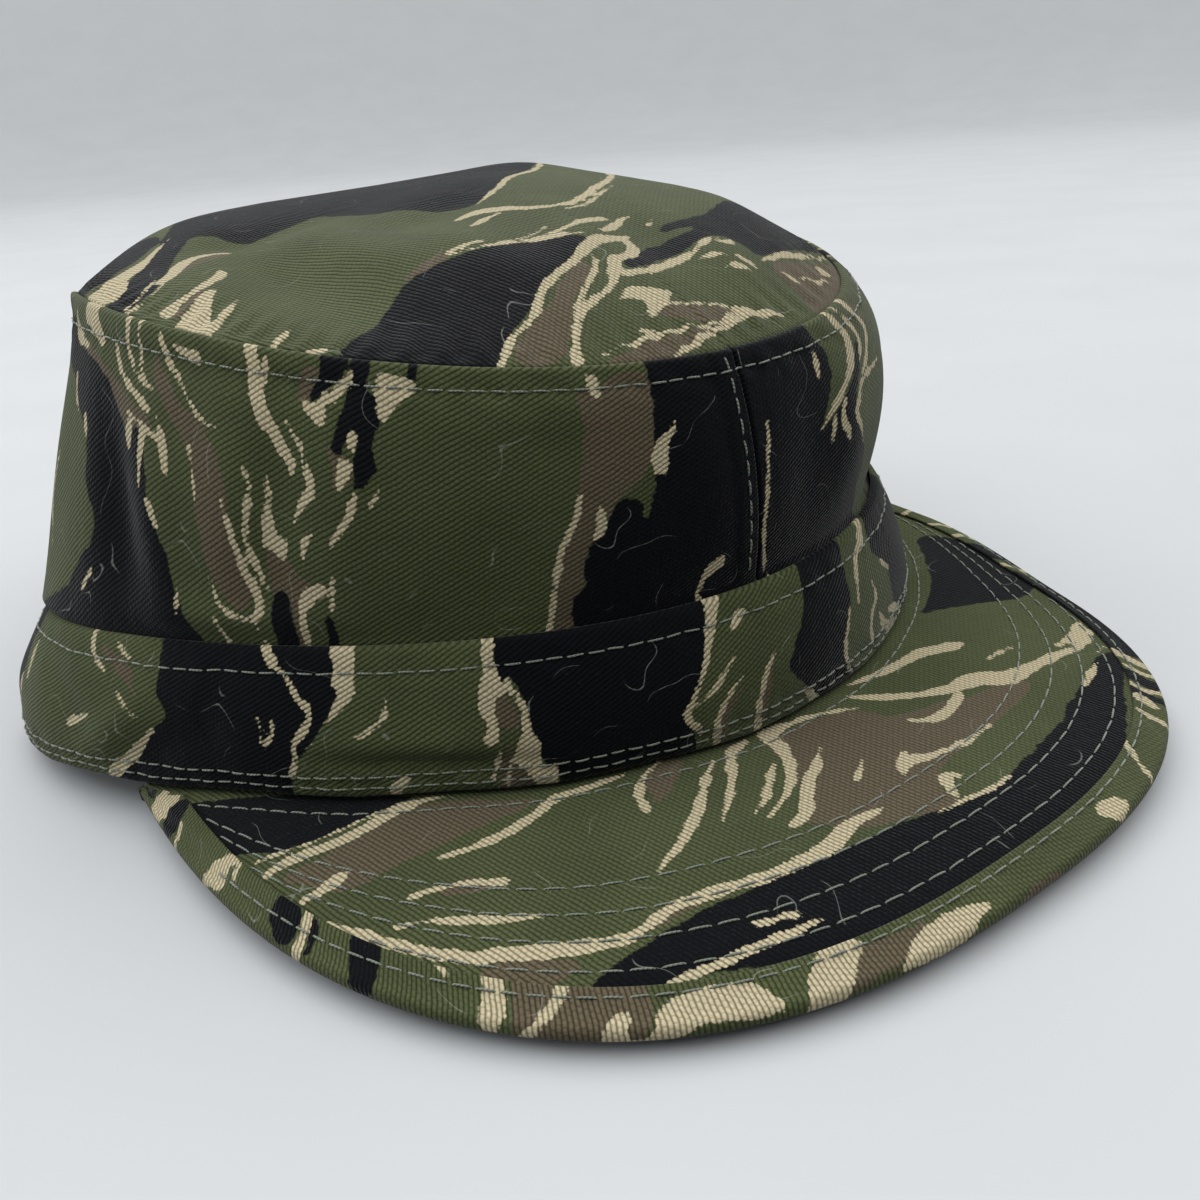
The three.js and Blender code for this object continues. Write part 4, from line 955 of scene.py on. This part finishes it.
# ---------- bodies ----------
def finish_piece(name, vertices, faces, cloth, material, node, inks=None):
    """A mesh from millimetre points, with its flat-cloth places and print distances."""
    world = (vertices + np.array([0, ORIGIN_Y, 0])) * MM
    mesh = bpy.data.meshes.new(name)
    mesh.from_pydata(world.tolist(), [], faces)
    mesh.update()
    flat = np.zeros((len(vertices), 3), np.float32)
    flat[:, :2] = cloth
    mesh.attributes.new("cloth", "FLOAT_VECTOR", "POINT").data.foreach_set("vector", flat.ravel())
    for ink, distance in (inks or {}).items():
        values = distance.astype(np.float32)
        mesh.attributes.new(ink, "FLOAT", "POINT").data.foreach_set("value", values)
    mesh.polygons.foreach_set("use_smooth", [True] * len(mesh.polygons))
    mesh.materials.append(material)
    piece = bpy.data.objects.new(name, mesh)
    bpy.context.scene.collection.objects.link(piece)
    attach(piece, "root")
    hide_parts(node)
    return piece


def outward(points, faces):
    """Whether quads enclose a positive volume, so that they face out."""
    a, b, c, d = (points[faces[:, k]] for k in range(4))
    volume = (a * np.cross(b, c)).sum() + (a * np.cross(c, d)).sum()
    return volume > 0


def ring_faces(vertices, rows, ring, closed):
    """Quads between neighbouring rings of points, with caps unless the rows close on themselves."""
    j = np.arange(rows if closed else rows - 1)[:, None]
    i = np.arange(ring)[None, :]
    after_j, after_i = (j + 1) % rows, (i + 1) % ring
    quads = np.stack([j * ring + i, after_j * ring + i, after_j * ring + after_i,
                      j * ring + after_i], -1).reshape(-1, 4)
    facing = outward(vertices, quads)
    faces = (quads if facing else quads[:, ::-1]).tolist()
    if not closed:
        ends = [list(range(ring)), list(range(rows * ring - 1, (rows - 1) * ring - 1, -1))]
        faces += [end if facing else end[::-1] for end in ends]
    return faces


def sheet(name, places, closed, face, back, flat, material, source=None, shapes=None):
    """A closed body of cloth, named after the CAD node it replaces.

    face and back are chains of (surface, levels, outs) that run from one rim of the section to
    the other, and are repeated at every place; flat gives the places on the flat cloth."""
    points, cloths = [], []
    for chain, way in ((face, 1), (back, -1)):
        for surface, levels, outs in chain[::way]:
            k, t = np.meshgrid(levels[::way], places)
            points.append(surface(t, k, np.broadcast_to(outs[::way], k.shape)))
            cloths.append(np.stack(flat(surface, t, k, points[-1]), -1))
    points, cloths = np.concatenate(points, 1), np.concatenate(cloths, 1)
    rows, ring = points.shape[:2]
    vertices, cloth = points.reshape(-1, 3), cloths.reshape(-1, 2)
    faces = ring_faces(vertices, rows, ring, closed)
    inks = None
    if shapes:
        u, v = cloth.T
        if source:
            u, v = source(u, v)
        inks = {ink: layer(u, v, shapes[ink]) for ink in shapes}
    return finish_piece(name + "_cloth", vertices, faces, cloth, material, name, inks)


def line(surface, low, high, count, out=0.0):
    """Part of a chain at one distance from its surface."""
    return surface, np.linspace(low, high, count), np.full(count, float(out))


def path(surface, *pairs):
    """Part of a chain through (level, out) pairs."""
    levels, outs = np.array(pairs, float).T
    return surface, levels, outs


def around(count):
    """Turns once round the head."""
    return np.linspace(-math.pi, math.pi, count, endpoint=False)


def dome_out(t, k, out):
    """The top, moved up by out."""
    return dome(t, k, -out)


# Places on the flat cloth, from a surface, its two parameters and the points they give.
def flat_crown(surface, t, k, p):
    v = k * CROWN_V if surface is crown else (k - 1) * BAND_V
    return np.degrees(t) * CROWN_U, v


def flat_band(surface, t, k, p):
    return np.degrees(t) * BAND_U, k * BAND_V


def flat_plan(surface, t, k, p):
    return p[..., 0], p[..., 1]


UP_RIGHT = (0.87, 0.5)       # twill direction on crown and band
FORWARD = (-0.24, 0.97)      # and on the visor
SLANT = (-0.38, 0.92)        # and on the top
TAPE, LINING, LABEL = 0.5, 0.9, 0.4     # thicknesses
TURNED = 1.5                 # inside of a folded-in edge, from the outer face


def make_top():
    """Its edge is turned down inside the crown's side."""
    reach = np.concatenate([np.linspace(0.004, 0.95, 92), np.linspace(0.957, 1, 9)])
    under = np.linspace(0.004, 0.992, 14)
    face = [(dome_out, reach, 0 * reach),
            path(crown, (0.97, -TURNED), (0.93, -TURNED), (0.86, -TURNED))]
    back = [(dome_out, under, 0 * under - PLY), path(crown, (0.955, -2.2), (0.86, -2.2))]
    sheet("crown_top", around(720), True, face, back, flat_plan,
          twill_material("camo_twill_top", SLANT), shapes=DOME_PRINT)


def make_sides():
    """Two halves from front seam to back seam; the top edge is turned in at the top seam."""
    near_seam = np.radians([0.02, 0.08, 0.15, 0.23, 0.33, 0.46, 0.62, 0.8])
    half = np.concatenate([near_seam, np.radians(np.linspace(1, 179, 400)),
                           math.pi - near_seam[::-1]])
    material = twill_material("camo_twill_side", UP_RIGHT)
    face = [line(band, 0.1, 0.95, 8, -CROWN_STEP), line(crown, 0.02, 0.985, 64),
            path(crown, (0.993, -0.08), (0.999, -0.3), (1, -0.7), (0.998, -1.1),
                 (0.99, -1.32), (0.96, -1.4), (0.84, -1.4))]
    back = [line(band, 0.1, 0.95, 4, -CROWN_STEP - PLY), line(crown, 0.06, 0.9, 8, -PLY),
            path(crown, (0.97, -0.65), (0.972, -0.72), (0.94, -0.75), (0.84, -0.75))]
    for name, places, slot in (("crown_side_right", half - math.pi, "camo_twill_crown_right"),
                               ("crown_side_left", half, "camo_twill_crown_left")):
        sheet(name, places, False, face, back, flat_crown, material,
              crown_source, CROWN_PRINT)


def make_tapes():
    """Tape over the raw edges inside: round the top seam, and up the front and back seams."""
    tape = woven_material("cotton_tape", (0.13, 0.14, 0.08), 0.5, 0.9)
    inside = TURNED + PLY + 0.4
    sheet("crown_seam_tape", around(240), True, [line(crown, 0.79, 0.95, 8, -inside)],
          [line(crown, 0.79, 0.95, 8, -inside - TAPE)], flat_crown, tape)
    half = 0.068
    for name, middle in (("front_seam_tape", 0), ("rear_seam_tape", math.pi)):
        places = np.linspace(middle - half, middle + half, 16)
        sheet(name, places, False, [line(crown, 0.03, 0.78, 24, -LAYER)],
              [line(crown, 0.03, 0.78, 24, -LAYER - TAPE)], flat_crown, tape)


def make_band():
    """Both edges are folded in: low is the hem's fold, high the top edge's."""
    low = path(band, (0.4, -TURNED), (0.06, -TURNED), (0.012, -1.35), (-0.004, -1.0),
               (-0.006, -0.6), (0.002, -0.25), (0.016, -0.06))
    high = path(band, (0.985, -0.05), (0.998, -0.25), (1.006, -0.6), (1.004, -1.0),
                (0.988, -1.35), (0.95, -TURNED), (0.62, -TURNED))
    back = [path(band, (0.4, -0.8), (0.07, -0.8), (0.03, -0.75)), line(band, 0.07, 0.9, 8, -0.7),
            path(band, (0.97, -0.72), (0.93, -0.8), (0.62, -0.8))]
    sheet("band", around(840), True, [low, line(band, 0.035, 0.965, 34), high], back,
          flat_band, twill_material("camo_twill_band", UP_RIGHT),
          band_source, BAND_PRINT)


def make_sweatband():
    inside = CROWN_STEP + LAYER
    sheet("sweatband", around(360), True, [line(sweat, 0.03, 0.92, 24, -inside)],
          [line(sweat, 0.03, 0.92, 24, -inside - LINING)], flat_band,
          twill_material("lining_twill", UP_RIGHT, False, "lining", 0.6))


def make_label():
    inside = CROWN_STEP + LAYER + LINING + GAP
    half = 17 / HEM_Y
    places = np.linspace(math.pi - half, math.pi + half, 40)
    sheet("size_label", places, False, [line(sweat, 0.28, 0.82, 20, -inside)],
          [line(sweat, 0.28, 0.82, 20, -inside - LABEL)], flat_band,
          woven_material("woven_label", (0.62, 0.58, 0.48), 0.36, 0.85))


def sweat(t, k, out):
    """The sweatband is sewn at its lower edge and stands a little loose above."""
    return band(t, k, out - 0.5 * k * (1 + np.sin(9 * t)))


def make_visor():
    """Top cover, bottom cover and the board between them."""
    sides = np.linspace(-1, 1, 300)
    material = twill_material("camo_twill_visor", FORWARD)
    sheet("visor_top_cover", sides, False, [line(visor, 0, 1, 84, COVER_AT + PLY)],
          [line(visor, 0, 1, 12, COVER_AT)], flat_plan, material,
          None, VISOR_PRINT)
    sheet("visor_bottom_cover", sides, False, [line(visor, 0, 1, 12, -COVER_AT)],
          [line(visor, 0, 1, 84, -COVER_AT - PLY)], flat_plan, material,
          mirrored, VISOR_PRINT)
    sheet("visor_board", sides, False, [line(visor, 0.06, 1, 20, BOARD / 2)],
          [line(visor, 0.06, 1, 20, -BOARD / 2)], flat_plan, board_material())


def mirrored(x, y):
    return -x, y


def binding_section():
    """The binding's section as (share of its width, rise, inset), outer face, then inner."""
    skin, out = BINDING_AT, BINDING_AT + BINDING
    rolled = [(0.0, skin + 0.1, EDGE), (0.0, out - 0.2, EDGE), (0.03, out - 0.04, EDGE),
              (0.08, out, EDGE)]
    rolled += [(share, out, EDGE) for share in np.linspace(0.18, 0.92, 8)]
    rolled += [(1, out * math.cos(a), EDGE - 0.9 * math.sin(a))
               for a in np.linspace(0.1, 3.04, 12)]
    rolled += [(share, -out, EDGE) for share in np.linspace(0.92, 0.08, 8)]
    rolled += [(0.0, -out + 0.2, EDGE), (0.0, -skin - 0.1, EDGE)]
    home = [(share, -skin, EDGE) for share in np.linspace(0.1, 0.95, 5)]
    home += [(1, skin * math.cos(a), EDGE - 0.25 * math.sin(a)) for a in (2.4, 1.57, 0.7)]
    home += [(share, skin, EDGE) for share in np.linspace(0.95, 0.1, 5)]
    return rolled + home


def make_binding():
    """Bias strip folded over the visor's edge; it narrows where the visor runs under the hem."""
    sides = np.linspace(-1, 1, 620)
    edge = visor_edge(sides, 0)
    along = np.concatenate([[0], np.cumsum(np.linalg.norm(np.diff(edge, axis=0), axis=1))])
    along -= np.interp(0, sides, along)
    width = visor_width(sides)
    hold = 1 - np.minimum(BINDING_WIDTH, width - VISOR_TUCK - 0.6) / width
    wave = 0.12 * np.sin(along / 2.1 + 2 * np.sin(along / 9))
    points, cloth, across = [], [], 0.0
    for share, rise, inset in binding_section():
        k = 1 + 0 * sides if share == 1 else lerp(hold, 1, share)
        p = visor(sides, k, rise, inset)
        if rise > BINDING_AT + 0.3 and share < 1:
            p[:, 2] += wave * math.sin(math.pi * min(share * 1.2, 1))
        if points:
            across += np.linalg.norm(p[len(sides) // 2] - points[-1][len(sides) // 2])
        points.append(p)
        cloth.append(np.stack([along, 0 * along + across], -1))
    points, cloth = np.stack(points, 1), np.stack(cloth, 1)
    rows, ring = points.shape[:2]
    vertices, cloth = points.reshape(-1, 3), cloth.reshape(-1, 2)
    inks = {ink: layer(*cloth.T, shapes) for ink, shapes in BINDING_PRINT.items()}
    finish_piece("visor_binding_cloth", vertices, ring_faces(vertices, rows, ring, False), cloth,
                 twill_material("camo_twill_binding", (0.08, 1.0)),
                 "visor_binding", inks)


# ---------- stitches ----------
def unit(v):
    return v / np.linalg.norm(v, axis=-1, keepdims=True)


def stitches(node, points, normals, pitch, material, radius=0.155):
    """A row of lock stitches along points: each dips into the cloth at both ends."""
    steps = np.linalg.norm(np.diff(points, axis=0), axis=1)
    run = np.concatenate([[0], np.cumsum(steps)])
    count = int(run[-1] / pitch)
    rng = np.random.default_rng(len(node) * 7 + count)
    middle = (np.arange(count) + 0.5) * run[-1] / count + rng.uniform(-0.08, 0.08, count)
    at = np.array([-0.47, -0.36, -0.16, 0.16, 0.36, 0.47])
    lift = np.array([-0.16, 0.07, 0.15, 0.15, 0.07, -0.16])
    thick = np.array([0.45, 0.9, 1.0, 1.0, 0.9, 0.45]) * radius
    where = middle[:, None] + at * pitch * rng.uniform(0.9, 0.98, (count, 1))
    centre = np.stack([np.interp(where, run, points[:, c]) for c in range(3)], -1)
    normal = unit(np.stack([np.interp(where, run, normals[:, c]) for c in range(3)], -1))
    tangent = unit(centre[:, -1:] - centre[:, :1])
    side = unit(np.cross(normal, tangent))
    skew = rng.normal(0, 0.045, (count, 1, 1)) * at[None, :, None] * 2
    centre = centre + normal * lift[None, :, None] + side * skew
    angle = np.linspace(0, math.tau, 8, endpoint=False)
    ring = (np.cos(angle)[:, None] * side[:, :, None] + np.sin(angle)[:, None] * normal[:, :, None])
    vertices = centre[:, :, None] + ring * thick[None, :, None, None]
    sections, sides = len(at), len(angle)
    cloth = np.stack(np.broadcast_arrays(where[:, :, None], angle * radius), -1)
    faces = []
    for n in range(count):
        base = n * sections * sides
        for s in range(sections - 1):
            for a in range(sides):
                b = (a + 1) % sides
                low, high = base + s * sides, base + (s + 1) * sides
                faces.append([low + a, low + b, high + b, high + a])
        faces.append([base + a for a in reversed(range(sides))])
        faces.append([base + (sections - 1) * sides + a for a in range(sides)])
    finish_piece(node + "_row", vertices.reshape(-1, 3), faces, cloth.reshape(-1, 2), material,
                 node)


def with_normals(surface, a, b, out=0.0):
    """Points of a surface along (a, b), and the normals that point away from the cap."""
    step = 0.002
    p = surface(a, b, out)
    normal = unit(np.cross(surface(a + step, b, out) - p, surface(a, b + step, out) - p))
    further = surface(a, b, out + 1)
    facing = np.sign(((further - p) * normal).sum(-1, keepdims=True))
    return p, normal * facing


def make_threads():
    green = thread_material("sewing_thread", (0.066, 0.080, 0.055))
    ring = np.linspace(-math.pi, math.pi, 2400)
    full = 0 * ring
    for node, surface, level, pitch in (
            ("crown_seam_thread", crown, 0.92, 3.0), ("band_top_thread", band, 0.852, 3.2),
            ("hem_thread_upper", band, 0.15, 2.9), ("hem_thread_lower", band, 0.068, 2.9)):
        stitches(node, *with_normals(surface, ring, full + level), pitch, green)
    points, normals = with_normals(sweat, ring, full + 0.12, -CROWN_STEP - LAYER - 0.9)
    stitches("sweatband_thread", points, -normals, 3.2, green)
    for node, middle in (("front_seam_thread", 0.0), ("rear_seam_thread", -math.pi)):
        level = np.linspace(0.05, 0.985, 300)
        turn = 0 * level + middle - math.copysign(2.2, middle + 1) / RIM_Y
        stitches(node, *with_normals(crown, turn, level), 3.0, green)
    sides = np.linspace(-1, 1, 2400)
    width = visor_width(sides)
    showing = width - VISOR_TUCK
    top = COVER_AT + PLY
    rows = [("brow_thread", 2.6 + 0 * showing, top, 3.4)]
    rows += [("visor_thread_%d" % (n + 1), share * showing, top, 3.9)
             for n, share in enumerate((0.5, 0.62, 0.73, 0.84))]
    rows.append(("binding_thread", 0.928 * showing, BINDING_AT + BINDING, 3.2))
    for node, from_hem, rise, pitch in rows:
        keep = showing - from_hem > (1.2 if node == "binding_thread" else BINDING_WIDTH + 0.6)
        a, reach = sides[keep], ((VISOR_TUCK + from_hem) / width)[keep]
        stitches(node, *with_normals(visor, a, reach, rise), pitch, green)


# ---------- stage ----------
CAMERA_TURN, CAMERA_RISE, CAMERA_ROLL = np.radians([-33.85, 24.2, -4.26])
CAMERA_DISTANCE, CAMERA_LENS, SENSOR = 241.4, 32.29, 36
CAMERA_TARGET = (11.43, ORIGIN_Y - 27.45, 3.46)


def make_camera():
    back = Vector((math.sin(CAMERA_TURN) * math.cos(CAMERA_RISE),
                   -math.cos(CAMERA_TURN) * math.cos(CAMERA_RISE), math.sin(CAMERA_RISE)))
    level = Vector((math.cos(CAMERA_TURN), math.sin(CAMERA_TURN), 0))
    upright = back.cross(level)
    right = level * math.cos(CAMERA_ROLL) + upright * math.sin(CAMERA_ROLL)
    rotation = Matrix((right, back.cross(right), back)).transposed().to_4x4()
    place = (Vector(CAMERA_TARGET) + back * CAMERA_DISTANCE) * MM
    camera = bpy.data.objects.new("camera", bpy.data.cameras.new("camera"))
    bpy.context.scene.collection.objects.link(camera)
    camera.matrix_world = Matrix.Translation(place) @ rotation
    camera.data.sensor_width = SENSOR
    camera.data.lens = CAMERA_LENS
    camera.data.clip_start = 0.01
    bpy.context.scene.camera = camera


def add_light(data, place):
    """A lamp at a place, turned towards the origin."""
    lamp = bpy.data.objects.new(data.name, data)
    lamp.location = place
    lamp.rotation_euler = (-Vector(place)).to_track_quat("-Z", "Y").to_euler()
    bpy.context.scene.collection.objects.link(lamp)


def make_backdrop(lowest):
    """A round floor that curves up into a low wall far from the cap."""
    radius, far, steps, turns = 2.0, 3.0, 24, 96
    profile = [(far * k, 0.0) for k in (0.02, 0.1, 0.3, 0.6, 1)]
    profile += [(far + radius * math.sin(a), radius * (1 - math.cos(a)))
                for a in np.linspace(0, math.pi / 2, steps)[1:]]
    profile.append((far + radius, 2.6))
    corners = [(r * math.cos(a), r * math.sin(a), h + lowest)
               for r, h in profile for a in np.linspace(0, math.tau, turns, endpoint=False)]
    faces = [list(range(turns))]
    for ring in range(len(profile) - 1):
        low, high = ring * turns, (ring + 1) * turns
        faces += [(low + j, high + j, high + (j + 1) % turns, low + (j + 1) % turns)
                  for j in range(turns)]
    mesh = bpy.data.meshes.new("floor")
    mesh.from_pydata(corners, [], faces)
    mesh.polygons.foreach_set("use_smooth", [True] * len(faces))
    mesh.materials.append(floor_material())
    floor = bpy.data.objects.new("floor", mesh)
    bpy.context.scene.collection.objects.link(floor)


def make_lights():
    """A wide softbox overhead, a window to the rear right of the cap, and a faint sky."""
    softbox = bpy.data.lights.new("softbox", "SUN")
    softbox.energy, softbox.angle = 8.8, math.radians(112)
    softbox.color = (1.0, 0.995, 0.985)
    add_light(softbox, (0.22, 0.20, 1))
    window = bpy.data.lights.new("window", "AREA")
    window.shape, window.size, window.energy = "DISK", 1.4, 30
    window.color = (0.96, 0.98, 1.0)
    add_light(window, (-1.7, 0.9, 0.9))
    world = bpy.data.worlds.new("studio")
    world.use_nodes = True
    background = world.node_tree.nodes["Background"]
    background.inputs["Color"].default_value = (0.88, 0.94, 1.0, 1)
    background.inputs["Strength"].default_value = 0.12
    bpy.context.scene.world = world
    bpy.context.scene.view_settings.view_transform = "Standard"


make_top()
make_sides()
make_tapes()
make_band()
make_sweatband()
make_label()
make_visor()
make_binding()
make_threads()
make_camera()
make_backdrop((TABLE - 0.25) * MM)
make_lights()
